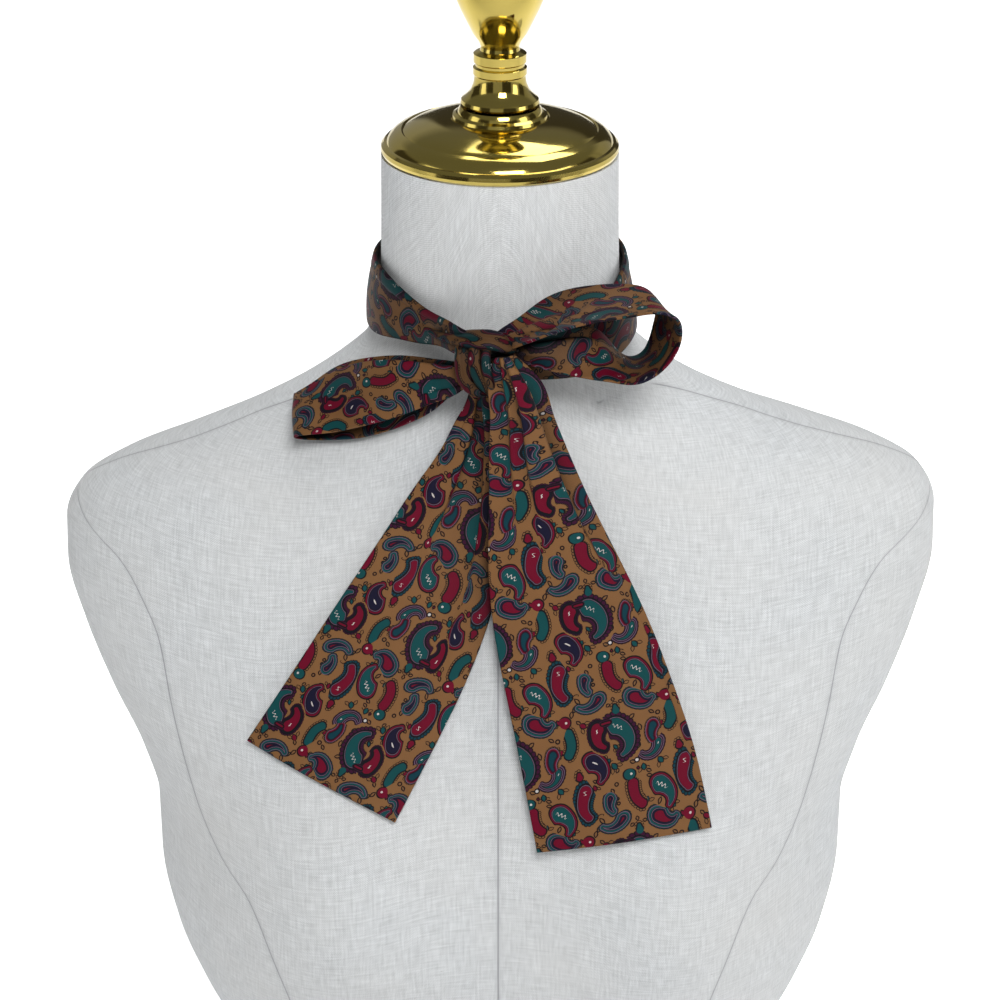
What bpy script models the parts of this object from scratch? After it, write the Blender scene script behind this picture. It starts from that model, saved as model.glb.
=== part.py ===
"""A skinny scarf tied in a bow round the neck of a limbless dress form.

Millimetres in the tables, metres in the scene. +Z is up, the front of the form faces -Y, and the
origin is the centre of the form's underside, on the surface that it stands on.
"""

import math

import bpy
import numpy as np

MM = 0.001

# ---------------------------------------------------------------- driving sizes, in millimetres
BASE_THICKNESS = 7.7
BASE_INSET = 2.0
BASE_ROUND = 2.5
SEAM_GAP = 0.3
FORM_BOTTOM = BASE_THICKNESS + SEAM_GAP
FORM_TOP = 577.5
NECK_TOP_Y = -4.0
RIM_HEIGHT = 580.0
BAND_WALL = 2.0
LOOP_WALL = 1.8
TAIL_WALL = 1.4

FORM_RINGS = 31
FORM_SIDES = 40
TURNED_SIDES = 28
KNOT_SIDES = 20
# Steps along and across each strip.
BAND_STEPS = (48, 8)
LOOP_LEFT_STEPS = (36, 10)
LOOP_RIGHT_STEPS = (42, 10)
TAIL_LEFT_STEPS = (18, 18)
TAIL_RIGHT_STEPS = (22, 24)

# ---------------------------------------------------------------- the dress form
# One row for each level section: its front and back reach from a centre line that leans a little.
SECTION_COLUMNS = ("height", "half_width", "front", "back", "squareness", "centre_y")
SECTIONS = (
    (8, 140.0, 91, 99, 2.15, 4),
    (36, 139.0, 91, 99, 2.15, 4),
    (68, 129.0, 88, 92, 2.12, 4),
    (98, 120.0, 85, 84, 2.10, 4),
    (122, 119.5, 85, 80, 2.10, 3),
    (150, 128.0, 88, 80, 2.12, 2),
    (185, 142.5, 94, 84, 2.15, 0),
    (215, 152.0, 100, 87, 2.18, -1),
    (250, 157.0, 104, 89, 2.20, -2),
    (280, 157.0, 105, 90, 2.25, -2),
    (310, 164.0, 102, 90, 2.30, -2),
    (340, 177.0, 98, 88, 2.30, 0),
    (370, 187.5, 92, 82, 2.30, 2),
    (395, 193.5, 87, 74, 2.25, 5),
    (412, 193.5, 84, 67, 2.20, 8),
    (425, 187.0, 81, 60, 2.15, 10),
    (436, 170.0, 76, 54, 2.10, 10),
    (447, 143.0, 71, 49, 2.05, 9),
    (459, 112.0, 66, 46, 2.00, 8),
    (471, 88.0, 60, 45, 2.00, 6),
    (482, 71.0, 56, 46, 2.00, 5),
    (494, 58.0, 52, 47, 2.00, 4),
    (508, 52.5, 50, 49, 2.00, 2),
    (530, 51.0, 49, 50, 2.00, 0),
    (FORM_TOP, 50.0, 48, 50, 2.00, NECK_TOP_Y),
)
BUST_X = 82.0
BUST_HEIGHT = 268.0
BUST_REACH_X = 52.0
BUST_REACH_Z = 64.0
BUST_DEPTH = 24.0
# The bust is at full depth where the sine of the angle round the form is past one over this.
BUST_SIDE_FADE = 1.6
# One shoulder stands a little higher than the other, as a stuffed form's do.
SHOULDER_LEAN = 0.019
LEAN_FROM = 300.0
LEAN_FULL = 420.0
LEAN_FADES = 448.0
LEAN_GONE = 478.0

# ---------------------------------------------------------------- the brass cap and finial
# Turned profiles: radius, and height above the cap's rim.
CAP_PROFILE = (
    (0.0, -2.2), (48.6, -2.2), (49.7, -1.3), (50.2, 0.0), (49.9, 1.5), (48.8, 2.6), (47.6, 2.9),
    (46.6, 4.8), (43.9, 6.9), (41.4, 7.9), (40.7, 7.5), (39.8, 8.2), (36.0, 9.9), (30.0, 11.8),
    (24.0, 13.0), (20.9, 13.3), (20.3, 13.0), (19.8, 14.4), (18.4, 15.2), (17.9, 15.0),
    (17.5, 16.6), (16.6, 17.8), (0.0, 18.2),
)
FINIAL_PROFILE = (
    (0.0, 18.6), (15.8, 18.6), (16.6, 19.6), (16.2, 21.0), (14.2, 22.6), (12.2, 24.9),
    (11.1, 28.0), (10.7, 31.0), (11.3, 31.7), (11.3, 34.5), (10.3, 35.2), (10.3, 36.2),
    (11.1, 36.9), (11.1, 40.4), (10.2, 41.1), (8.4, 41.8), (8.1, 43.2), (9.1, 45.8),
    (11.6, 49.2), (14.2, 54.5), (16.8, 59.8), (18.6, 64.4), (19.6, 70.0), (19.3, 76.5),
    (17.0, 83.0), (12.2, 88.2), (6.2, 90.9), (0.0, 91.5),
)

# ---------------------------------------------------------------- the scarf
# Each stretch is a strip of cloth between two edges, a and b. One row for each place along it.
# Belly is how far the strip's middle stands out from the straight line between them.
EDGE_COLUMNS = ("ax", "ay", "az", "bx", "by", "bz", "belly")
# Round the neck, from the crossing over the knot, by the wearer's right side and the nape, to the
# knot's other side. Edge a is the upper one.
NECK_BAND = (
    (-1.5, -72.0, 522.5, -3.5, -77.0, 517.5, 0.5),
    (-7.0, -74.0, 524.3, -8.0, -79.0, 517.5, 0.5),
    (-13.0, -71.0, 524.2, -15.0, -75.0, 516.5, 0.5),
    (-20.5, -60.5, 522.8, -22.0, -63.5, 511.8, 0.5),
    (-31.0, -45.5, 523.2, -32.5, -47.5, 508.0, 0.5),
    (-42.0, -34.0, 528.5, -43.8, -36.0, 506.0, 0.5),
    (-48.5, -23.0, 531.5, -51.5, -25.5, 504.0, 0.5),
    (-53.2, 0.0, 532.0, -56.6, 0.0, 503.5, 0.5),
    (-39.0, 38.5, 532.5, -41.5, 40.5, 504.0, 0.5),
    (0.0, 53.8, 533.0, 0.0, 56.5, 504.5, 0.5),
    (39.0, 38.5, 532.5, 41.5, 40.5, 503.5, 0.5),
    (53.2, 0.0, 531.5, 58.2, -1.0, 501.0, 0.5),
    (48.0, -25.0, 526.5, 53.0, -28.0, 498.5, 0.5),
    (39.5, -38.5, 520.0, 43.5, -41.5, 495.5, 0.5),
    (29.5, -48.0, 514.0, 34.0, -49.5, 494.5, 0.5),
    (18.0, -55.0, 509.0, 23.5, -56.0, 495.5, 0.5),
    (2.5, -59.0, 505.5, 3.0, -61.0, 497.0, 0.5),
)
# Out along the front strand, round the turn, and back along the strand behind. Edge a is the upper.
LOOP_LEFT = (
    (-19.4, -65.5, 505.0, -19.4, -66.5, 493.0, 0.8),
    (-25.0, -60.5, 503.8, -23.5, -65.0, 489.8, 1.0),
    (-41.7, -50.0, 501.6, -40.8, -62.5, 481.9, 1.5),
    (-59.4, -32.5, 493.6, -57.8, -57.5, 474.8, 1.5),
    (-75.0, -21.0, 482.4, -74.2, -49.5, 468.3, 1.6),
    (-83.9, -21.0, 476.6, -83.3, -48.0, 466.8, 1.4),
    (-88.3, -16.4, 473.4, -86.8, -43.6, 463.8, 0.6),
    (-84.6, -11.6, 473.8, -83.6, -41.4, 462.2, -0.6),
    (-71.6, -13.5, 483.6, -69.9, -46.0, 463.8, -2.2),
    (-55.3, -27.0, 493.9, -54.9, -49.5, 467.0, -1.5),
    (-38.0, -42.8, 500.8, -38.0, -53.5, 474.6, 0.0),
    (-25.5, -53.5, 503.3, -25.5, -57.8, 484.0, 0.0),
    (-19.4, -57.5, 504.0, -19.4, -59.5, 490.0, 0.0),
)
# Out along the upper strand, round the turn, and back along the lower one. Edge a is the far one.
LOOP_RIGHT = (
    (1.0, -60.0, 518.5, 1.5, -69.5, 518.5, 0.5),
    (7.0, -56.0, 522.4, 11.0, -75.5, 521.0, 1.0),
    (18.6, -48.5, 528.3, 25.0, -79.5, 526.3, 1.5),
    (35.3, -42.5, 531.4, 39.7, -76.0, 528.6, 1.5),
    (52.0, -39.5, 531.2, 53.6, -72.5, 529.3, 1.2),
    (62.0, -38.0, 527.8, 65.0, -69.5, 529.5, 0.8),
    (65.4, -37.5, 521.5, 72.0, -67.5, 526.5, 0.6),
    (64.6, -37.5, 513.5, 74.3, -66.5, 520.5, 0.6),
    (62.6, -38.5, 506.0, 73.0, -67.0, 513.0, 0.6),
    (59.5, -40.5, 501.3, 68.3, -69.0, 506.2, 0.4),
    (53.0, -43.5, 500.7, 59.5, -72.0, 500.7, 0.0),
    (43.4, -46.5, 506.5, 45.8, -74.0, 501.7, -0.6),
    (31.0, -52.0, 512.5, 31.0, -75.5, 506.5, -1.0),
    (18.0, -58.0, 513.8, 18.3, -75.0, 509.0, -1.0),
    (8.5, -60.0, 512.6, 8.5, -71.5, 510.5, -0.5),
    (1.0, -60.5, 512.0, 1.5, -69.5, 511.5, 0.0),
)
# Down from the knot to the hem. Edge a is the one on the left, seen from the front.
TAIL_LEFT = (
    (-14.0, -60.0, 487.3, -4.5, -61.5, 486.3, 1.0),
    (-18.5, -60.0, 478.5, -1.5, -63.0, 474.0, 1.2),
    (-23.5, -61.5, 468.5, 0.0, -65.0, 462.0, 1.4),
    (-34.4, -64.5, 452.5, 1.5, -70.0, 441.8, 1.2),
    (-48.8, -70.3, 431.5, 0.0, -78.5, 416.2, 1.0),
    (-68.3, -79.0, 403.5, -11.0, -90.8, 380.6, 1.2),
    (-87.7, -86.0, 374.4, -27.0, -101.2, 347.8, 1.8),
    (-107.9, -90.2, 343.5, -44.4, -112.9, 316.3, 3.4),
)
TAIL_RIGHT = (
    (-2.5, -78.0, 513.5, 6.0, -77.0, 514.5, 1.0),
    (-5.0, -79.5, 502.0, 17.0, -75.0, 502.0, 1.6),
    (-4.2, -78.5, 490.8, 21.3, -71.5, 488.8, 1.6),
    (-4.4, -76.5, 474.0, 25.4, -69.5, 476.2, 1.4),
    (-4.6, -78.5, 450.4, 35.0, -71.5, 453.2, 1.0),
    (-4.9, -84.5, 423.5, 47.0, -78.0, 429.7, 0.8),
    (-2.1, -92.5, 393.7, 61.0, -85.0, 401.7, 0.8),
    (4.6, -101.5, 360.2, 74.3, -93.0, 368.5, 1.4),
    (10.6, -109.0, 330.2, 83.0, -101.0, 342.7, 2.6),
    (15.7, -116.0, 303.5, 89.8, -111.5, 313.2, 4.2),
)
# Folds that run along a strip. The line and its half width are shares of the strip's width, from
# edge a to edge b, and lie where the strip starts and ends. Lap draws the cloth under the fold,
# drop is the step down from one side to the other and ridge a crest, in millimetres. The fold is
# deepest at peak and has faded by reach, both shares of the strip's length.
FOLD_COLUMNS = ("line_start", "line_end", "half_width", "lap", "drop", "ridge", "peak", "reach")
NECK_BAND_FOLDS = (
    (0.45, 0.45, 0.16, 0.3, 0.0, -1.1, 0.06, 0.10),
    (0.55, 0.55, 0.18, 0.2, 0.0, 1.0, 1.00, 0.14),
)
LOOP_LEFT_FOLDS = (
    (0.38, 0.45, 0.14, 0.5, 0.0, -1.8, 0.00, 0.22),
    (0.74, 0.70, 0.12, 0.4, 0.0, -1.2, 0.00, 0.16),
    (0.50, 0.50, 0.16, 0.3, 0.0, -1.4, 1.00, 0.18),
)
LOOP_RIGHT_FOLDS = (
    (1.15, -0.60, 0.13, 0.6, 3.2, 0.0, 0.20, 0.12),
    (0.20, 0.20, 0.11, 0.4, 0.0, -1.2, 0.78, 0.22),
    (0.45, 0.45, 0.13, 0.3, 0.0, -0.9, 1.00, 0.14),
)
TAIL_LEFT_FOLDS = (
    (0.40, 0.34, 0.12, 0.9, 2.6, 0.0, 0.00, 0.30),
    (0.72, 0.76, 0.12, 0.7, -2.0, 0.0, 0.00, 0.26),
)
TAIL_RIGHT_FOLDS = (
    (0.62, 1.02, 0.11, 1.1, 4.2, 0.0, 0.20, 0.24),
    (0.26, 0.22, 0.11, 0.7, 0.0, 1.7, 0.04, 0.30),
    (0.44, 0.40, 0.09, 0.5, 0.0, -1.2, 0.04, 0.24),
)
# The knot is a band wrapped round the strands: one row for each slice across it.
KNOT_COLUMNS = ("x", "half_depth", "half_height", "centre_y", "centre_z")
KNOT = (
    (-18.0, 4.5, 5.5, -62.5, 500.5),
    (-17.2, 8.8, 10.2, -63.0, 501.0),
    (-14.8, 12.0, 13.4, -63.6, 501.6),
    (-11.5, 13.4, 14.6, -63.9, 501.8),
    (-8.0, 13.3, 14.4, -63.9, 501.8),
    (-4.6, 11.6, 13.0, -63.5, 501.8),
    (-1.6, 8.8, 10.2, -63.0, 501.8),
    (0.0, 4.5, 5.5, -62.5, 501.8),
)

# A fold is shallower where the strip is narrower than this.
FULL_FOLD_WIDTH = 24.0
# How sharply a fold steps down, and how quickly it dies away at the strip's two edges.
STEP_SHARPNESS = 1.25
EDGE_HOLD = 0.5
SHORTEST_NORMAL = 1e-9

# ---------------------------------------------------------------- colours
CLOTH_COLOUR = (0.30, 0.17, 0.07, 1.0)
LINEN_COLOUR = (0.66, 0.66, 0.69, 1.0)
BRASS_COLOUR = (0.80, 0.58, 0.20, 1.0)
BASE_COLOUR = (0.70, 0.70, 0.72, 1.0)


def clear_scene():
    for obj in list(bpy.data.objects):
        bpy.data.objects.remove(obj, do_unlink=True)


def columns(rows, names):
    """The table's columns, by name."""
    return dict(zip(names, np.array(rows, float).T))


def material(name, colour, roughness, metallic=0.0):
    made = bpy.data.materials.new(name)
    made.use_nodes = True
    shader = made.node_tree.nodes["Principled BSDF"]
    shader.inputs["Base Color"].default_value = colour
    shader.inputs["Roughness"].default_value = roughness
    shader.inputs["Metallic"].default_value = metallic
    made.diffuse_color = colour
    return made


def make_object(name, points_mm, faces, finish, sharp_angle=40.0):
    mesh = bpy.data.meshes.new(name)
    mesh.from_pydata([tuple(p * MM) for p in points_mm], [], faces)
    mesh.update()
    mesh.shade_smooth()
    mesh.set_sharp_from_angle(angle=math.radians(sharp_angle))
    mesh.materials.append(finish)
    obj = bpy.data.objects.new(name, mesh)
    bpy.context.scene.collection.objects.link(obj)
    return obj


# ---------------------------------------------------------------- curves through a table's rows
def level_curve(x, y, at):
    """A curve through (x, y) that never overshoots them."""
    step = np.diff(x)
    rise = np.diff(y) / step
    slope = np.zeros(len(x))
    slope[0], slope[-1] = rise[0], rise[-1]
    for i in range(1, len(x) - 1):
        if rise[i - 1] * rise[i] > 0:
            before = 2 * step[i] + step[i - 1]
            after = step[i] + 2 * step[i - 1]
            slope[i] = (before + after) / (before / rise[i - 1] + after / rise[i])
    k = np.clip(np.searchsorted(x, at, side="right") - 1, 0, len(step) - 1)
    t = (at - x[k]) / step[k]
    return (
        (2 * t**3 - 3 * t**2 + 1) * y[k]
        + (t**3 - 2 * t**2 + t) * step[k] * slope[k]
        + (3 * t**2 - 2 * t**3) * y[k + 1]
        + (t**3 - t**2) * step[k] * slope[k + 1]
    )


def flowing_curve(along, values, at):
    """A natural cubic spline through the rows of values."""
    step = np.diff(along)
    count = len(along)
    left = np.eye(count)
    right = np.zeros((count, values.shape[1]))
    for i in range(1, count - 1):
        left[i, i - 1 : i + 2] = step[i - 1], 2 * (step[i - 1] + step[i]), step[i]
        change = np.diff(values[i - 1 : i + 2], axis=0) / step[i - 1 : i + 1, None]
        right[i] = 6 * (change[1] - change[0])
    bend = np.linalg.solve(left, right)
    k = np.clip(np.searchsorted(along, at, side="right") - 1, 0, count - 2)
    h = step[k][:, None]
    b = ((at - along[k]) / step[k])[:, None]
    a = 1 - b
    return (
        a * values[k]
        + b * values[k + 1]
        + ((a**3 - a) * bend[k] + (b**3 - b) * bend[k + 1]) * h**2 / 6
    )


# ---------------------------------------------------------------- the form
def lean_share(height):
    rises = np.clip((height - LEAN_FROM) / (LEAN_FULL - LEAN_FROM), 0, 1)
    falls = np.clip((LEAN_GONE - height) / (LEAN_GONE - LEAN_FADES), 0, 1)
    return rises * falls


def form_ring(height, angles, inset=0.0):
    """A level section of the form. Angle 0 is +X and the front is at 270 degrees."""
    table = columns(SECTIONS, SECTION_COLUMNS)
    at = np.array([float(height)])
    width, front, back, square, middle = (
        level_curve(table["height"], table[name], at)[0] for name in SECTION_COLUMNS[1:]
    )
    cosine, sine = np.cos(angles), np.sin(angles)
    reach = np.where(sine < 0, front, back) - inset
    x = (width - inset) * np.sign(cosine) * np.abs(cosine) ** (2 / square)
    y = reach * np.sign(sine) * np.abs(sine) ** (2 / square) + middle
    for side in (-1, 1):
        away = ((x - side * BUST_X) / BUST_REACH_X) ** 2
        away = away + ((height - BUST_HEIGHT) / BUST_REACH_Z) ** 2
        y = y - BUST_DEPTH * np.exp(-away) * np.clip(-BUST_SIDE_FADE * sine, 0, 1)
    z = height + SHOULDER_LEAN * x * lean_share(height)
    return np.stack([x, y, z], axis=-1)


def stacked_faces(rings, sides):
    """Faces of a closed stack of rings, with a flat face at each end."""
    faces = []
    for i in range(rings - 1):
        for j in range(sides):
            k = (j + 1) % sides
            faces.append((i * sides + j, i * sides + k, (i + 1) * sides + k, (i + 1) * sides + j))
    faces.append(tuple(reversed(range(sides))))
    faces.append(tuple(range((rings - 1) * sides, rings * sides)))
    return faces


def form_heights():
    """Levels from the base to the neck's top, closer together where the shoulders slope."""
    table = columns(SECTIONS, SECTION_COLUMNS)
    rows = np.arange(len(SECTIONS), dtype=float)
    return np.interp(np.linspace(0, rows[-1], FORM_RINGS), rows, table["height"])


def make_form(linen):
    angles = np.arange(FORM_SIDES) * 2 * math.pi / FORM_SIDES
    heights = form_heights()
    points = np.concatenate([form_ring(height, angles) for height in heights])
    make_object("form_body", points, stacked_faces(len(heights), FORM_SIDES), linen)


def make_base(finish):
    angles = np.arange(FORM_SIDES) * 2 * math.pi / FORM_SIDES
    rings = []
    for height, inset in (
        (0.0, BASE_INSET + BASE_ROUND),
        (BASE_ROUND, BASE_INSET),
        (BASE_THICKNESS - BASE_ROUND, BASE_INSET),
        (BASE_THICKNESS, BASE_INSET + BASE_ROUND),
    ):
        ring = form_ring(FORM_BOTTOM, angles, inset)
        ring[:, 2] = height
        rings.append(ring)
    make_object("base_plate", np.concatenate(rings), stacked_faces(4, FORM_SIDES), finish)


# ---------------------------------------------------------------- turned brass
def make_turned(name, profile, finish):
    """Turns a profile that starts and ends on the axis."""
    angles = np.arange(TURNED_SIDES) * 2 * math.pi / TURNED_SIDES
    points = []
    for radius, height in profile[1:-1]:
        for angle in angles:
            across = radius * math.cos(angle)
            points.append((across, NECK_TOP_Y + radius * math.sin(angle), RIM_HEIGHT + height))
    faces = stacked_faces(len(profile) - 2, TURNED_SIDES)
    make_object(name, np.array(points), faces, finish, sharp_angle=30.0)


# ---------------------------------------------------------------- cloth strips
def fold_offsets(folds, along, across, widths):
    """How far the folds move the cloth across the strip, as a share, and off it, in mm."""
    room = np.clip(widths / FULL_FOLD_WIDTH, 0, 1) ** 2
    sideways = np.zeros((len(along), len(across)))
    outward = np.zeros_like(sideways)
    table = columns(folds, FOLD_COLUMNS)
    for i in range(len(folds)):
        start, end, half, lap, drop, ridge, peak, reach = (table[n][i] for n in FOLD_COLUMNS)
        line = (start + (end - start) * along)[:, None]
        strength = (room * np.exp(-(((along - peak) / reach) ** 2)))[:, None]
        q = (across[None, :] - line) / half
        hump = np.exp(-(q**2))
        sideways -= strength * lap * half * q * hump
        step = 0.5 * (1 - np.tanh(STEP_SHARPNESS * q)) - (1 - across[None, :])
        outward += strength * (drop * step + ridge * hump)
    held = np.sin(math.pi * across)[None, :] ** EDGE_HOLD
    return sideways * held, outward * held


def strip_surface(rows, folds, steps_along, steps_across):
    """The middle surface of a strip and its outward normals, both as grids.

    The steps along it fall closer together where the table's rows do, as round a tight turn.
    """
    edges = np.array(rows, float)
    middles = (edges[:, :3] + edges[:, 3:6]) / 2
    run = np.concatenate([[0], np.cumsum(np.linalg.norm(np.diff(middles, axis=0), axis=1))])
    row_at = np.linspace(0, len(rows) - 1, steps_along + 1)
    reached = np.interp(row_at, np.arange(len(rows)), run)
    across = np.linspace(0, 1, steps_across + 1)
    curve = flowing_curve(run, edges, reached)
    widths = np.linalg.norm(curve[:, 3:6] - curve[:, :3], axis=1)
    edge_a, edge_b, belly = curve[:, None, :3], curve[:, None, 3:6], curve[:, 6:]
    sideways, outward = fold_offsets(folds, reached / run[-1], across, widths)
    share = (across[None, :] + sideways)[..., None]
    points = edge_a + (edge_b - edge_a) * share
    normals = surface_normals(points)
    lift = outward + belly * np.sin(math.pi * across)[None, :]
    points = points + normals * lift[..., None]
    return points, surface_normals(points)


def surface_normals(points):
    normals = np.cross(np.gradient(points, axis=0), np.gradient(points, axis=1))
    lengths = np.linalg.norm(normals, axis=-1, keepdims=True)
    return normals / np.maximum(lengths, SHORTEST_NORMAL)


def walled_faces(rows, cols):
    """Faces of a wall between two grids of rows x cols points, closed round its edge."""
    count = rows * cols
    faces = []
    for i in range(rows - 1):
        for j in range(cols - 1):
            a = i * cols + j
            faces.append((a, a + cols, a + cols + 1, a + 1))
            faces.append((count + a, count + a + 1, count + a + cols + 1, count + a + cols))
    rim = list(range(cols))
    rim += [i * cols + cols - 1 for i in range(1, rows)]
    rim += [(rows - 1) * cols + j for j in range(cols - 2, -1, -1)]
    rim += [i * cols for i in range(rows - 2, 0, -1)]
    for k, a in enumerate(rim):
        b = rim[(k + 1) % len(rim)]
        faces.append((a, b, count + b, count + a))
    return faces


def make_strip(name, rows, folds, finish, wall, steps):
    points, normals = strip_surface(rows, folds, *steps)
    half = normals * wall / 2
    both = np.concatenate([(points + half).reshape(-1, 3), (points - half).reshape(-1, 3)])
    faces = walled_faces(steps[0] + 1, steps[1] + 1)
    make_object(name, both, faces, finish)


def make_knot(finish):
    table = columns(KNOT, KNOT_COLUMNS)
    angles = np.arange(KNOT_SIDES) * 2 * math.pi / KNOT_SIDES
    rings = []
    for i in range(len(KNOT)):
        x, depth, height, centre_y, centre_z = (table[name][i] for name in KNOT_COLUMNS)
        y = centre_y + depth * np.cos(angles)
        z = centre_z + height * np.sin(angles)
        rings.append(np.stack([np.full(KNOT_SIDES, x), y, z], axis=-1))
    make_object("knot", np.concatenate(rings), stacked_faces(len(KNOT), KNOT_SIDES), finish)


def make_scarf():
    cloth = material("printed_cloth", CLOTH_COLOUR, 0.75)
    make_strip("neck_band", NECK_BAND, NECK_BAND_FOLDS, cloth, BAND_WALL, BAND_STEPS)
    make_strip("loop_left", LOOP_LEFT, LOOP_LEFT_FOLDS, cloth, LOOP_WALL, LOOP_LEFT_STEPS)
    make_strip("loop_right", LOOP_RIGHT, LOOP_RIGHT_FOLDS, cloth, LOOP_WALL, LOOP_RIGHT_STEPS)
    make_strip("tail_left", TAIL_LEFT, TAIL_LEFT_FOLDS, cloth, TAIL_WALL, TAIL_LEFT_STEPS)
    make_strip("tail_right", TAIL_RIGHT, TAIL_RIGHT_FOLDS, cloth, TAIL_WALL, TAIL_RIGHT_STEPS)
    make_knot(cloth)


def main():
    clear_scene()
    linen = material("linen_cover", LINEN_COLOUR, 0.9)
    brass = material("polished_brass", BRASS_COLOUR, 0.15, metallic=1.0)
    base = material("base_board", BASE_COLOUR, 0.8)
    make_base(base)
    make_form(linen)
    make_turned("neck_cap", CAP_PROFILE, brass)
    make_turned("finial", FINIAL_PROFILE, brass)
    make_scarf()


main()
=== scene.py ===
"""The looks of a skinny scarf tied in a bow round the neck of a limbless dress form.

The tables are in millimetres and the scene in metres. +Z is up and the form faces -Y. The cloth's
tables are those of the solids that its pieces replace, with finer folds, true edges and a print.
"""

import math

import bpy
import numpy as np
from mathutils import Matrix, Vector

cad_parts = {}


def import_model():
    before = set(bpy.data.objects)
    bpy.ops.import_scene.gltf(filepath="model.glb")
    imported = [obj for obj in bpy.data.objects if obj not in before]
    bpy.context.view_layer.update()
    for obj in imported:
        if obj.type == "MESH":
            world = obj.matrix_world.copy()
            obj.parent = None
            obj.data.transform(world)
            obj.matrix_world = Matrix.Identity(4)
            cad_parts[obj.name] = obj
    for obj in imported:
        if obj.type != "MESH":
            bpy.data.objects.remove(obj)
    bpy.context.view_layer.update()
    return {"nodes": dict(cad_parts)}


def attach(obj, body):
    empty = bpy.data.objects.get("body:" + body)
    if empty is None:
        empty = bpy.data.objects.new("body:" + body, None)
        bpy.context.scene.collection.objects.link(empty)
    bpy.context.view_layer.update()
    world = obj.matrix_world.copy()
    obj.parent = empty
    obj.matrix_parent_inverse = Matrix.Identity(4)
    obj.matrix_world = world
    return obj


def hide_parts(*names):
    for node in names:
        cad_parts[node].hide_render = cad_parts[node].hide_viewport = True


MM = 0.001
SHORTEST = 1e-9
# Angles in degrees, over which an edge is sharp.
FORM_EDGE = 50.0
TURNED_EDGE = 26.0
ROLL_EDGE = 60.0
NEVER_SHARP = 180.0
ROOT = "root"

# ---------- camera and light, in metres
CAMERA_PLACE = (0, -1.178, 0.94)
CAMERA_TILT = 66.0
CAMERA_LENS = 104.4
FLOOR_REACH = 30.0
FLOOR_COLOUR = (0.96, 0.96, 0.96)
# How strongly the floor glows close in front of the object and elsewhere, and where that changes:
# between these depths in front of it and behind it, and these distances from it.
FLOOR_GLOW = (0.05, 0.85)
GLOW_DEPTHS = (-0.4, 0.4)
GLOW_DISTANCES = (1, 3.5)
# The studio round the object: pale walls with darker bays, which the brass mirrors.
SKY_PALE = (0.8, 0.805, 0.81)
SKY_HIGH = (0.42, 0.43, 0.44)
SKY_DARK = (0.13, 0.12, 0.1)
SKY_STRENGTH = 0.42
# Its bays, wide and narrow: how many there are and where they start, how much the narrow ones
# count, and the heights between which they end.
WIDE_BAYS = (5, 0.9)
NARROW_BAYS = (13, 2)
NARROW_SHARE = 0.45
BAY_EDGE = 0.15
BAY_HEIGHTS = (0.42, 0.55)
# Soft boxes: name, place, the point they face, width, height, watts.
LIGHTS = (
    ("key", (0.35, -1.8, 2.05), (0, 0, 0.42), 1, 0.8, 42),
    ("left", (-2.2, -0.7, 1.2), (0, 0, 0.35), 0.9, 1.2, 5),
    ("right", (2.2, -0.9, 1.3), (0, 0, 0.35), 0.9, 1.2, 9),
    ("top", (0.3, 0.9, 2.4), (0, 0.2, 0.3), 1.4, 1, 20),
)

# ---------- the dress form
# Level sections: height, half width, reach to the front and the back, squareness, centre in y.
NECK_TOP_Y = -4.0
SECTIONS = (
    (8, 140, 91, 99, 2.15, 4), (36, 139, 91, 99, 2.15, 4), (68, 129, 88, 92, 2.12, 4),
    (98, 120, 85, 84, 2.1, 4), (122, 119.5, 85, 80, 2.1, 3), (150, 128, 88, 80, 2.12, 2),
    (185, 142.5, 94, 84, 2.15, 0), (215, 152, 100, 87, 2.18, -1), (250, 157, 104, 89, 2.2, -2),
    (280, 157, 105, 90, 2.25, -2), (310, 164, 102, 90, 2.3, -2), (340, 177, 98, 88, 2.3, 0),
    (370, 187.5, 92, 82, 2.3, 2), (395, 193.5, 87, 74, 2.25, 5), (412, 193.5, 84, 67, 2.2, 8),
    (425, 187, 81, 60, 2.15, 10), (436, 170, 76, 54, 2.1, 10), (447, 143, 71, 49, 2.05, 9),
    (459, 112, 66, 46, 2, 8), (471, 88, 60, 45, 2, 6), (482, 71, 56, 46, 2, 5),
    (494, 58, 52, 47, 2, 4), (508, 52.5, 50, 49, 2, 2), (530, 51, 49, 50, 2, 0),
    (577.5, 50, 48, 50, 2, NECK_TOP_Y),
)
BUST_X = 82.0
BUST_Z = 268.0
BUST_REACH_X = 52.0
BUST_REACH_Z = 64.0
BUST_DEPTH = 24.0
BUST_SIDE_FADE = 1.6
SHOULDER_LEAN = 0.019
# Heights: where the lean starts, is full, fades and is gone.
LEAN_HEIGHTS = (300, 420, 448, 478)
FORM_RINGS = 190
FORM_SIDES = 240
# Seams: how far from the middle the side seams run at each height, and how far back the shoulder
# seams run at each distance from the middle.
SIDE_SEAM = (
    (8, 88), (98, 76), (150, 82), (216, 93), (250, 101), (271, 109), (284, 121), (303, 131),
    (332, 139), (350, 142.5), (377, 147), (392, 154), (406, 164.5), (417, 184), (430, 200),
)
SHOULDER_SEAM = (
    (42, -42), (53, -32), (69, -19), (90, -9), (110, -3.5), (131, -3), (148, 0), (188, 12),
)
SIDE_SEAM_SLANT = 1.3
SEAM_TOP = 470.0
SHOULDER_SEAM_LOW = 425.0
SHOULDER_SEAM_TOP = 479.5
SHOULDER_SEAM_START = 40.0
MIDDLE_SEAM_X = -0.8
BACK_SEAM_SHARE = 0.72
FRONT_WAIST_Y = 4.0

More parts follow.
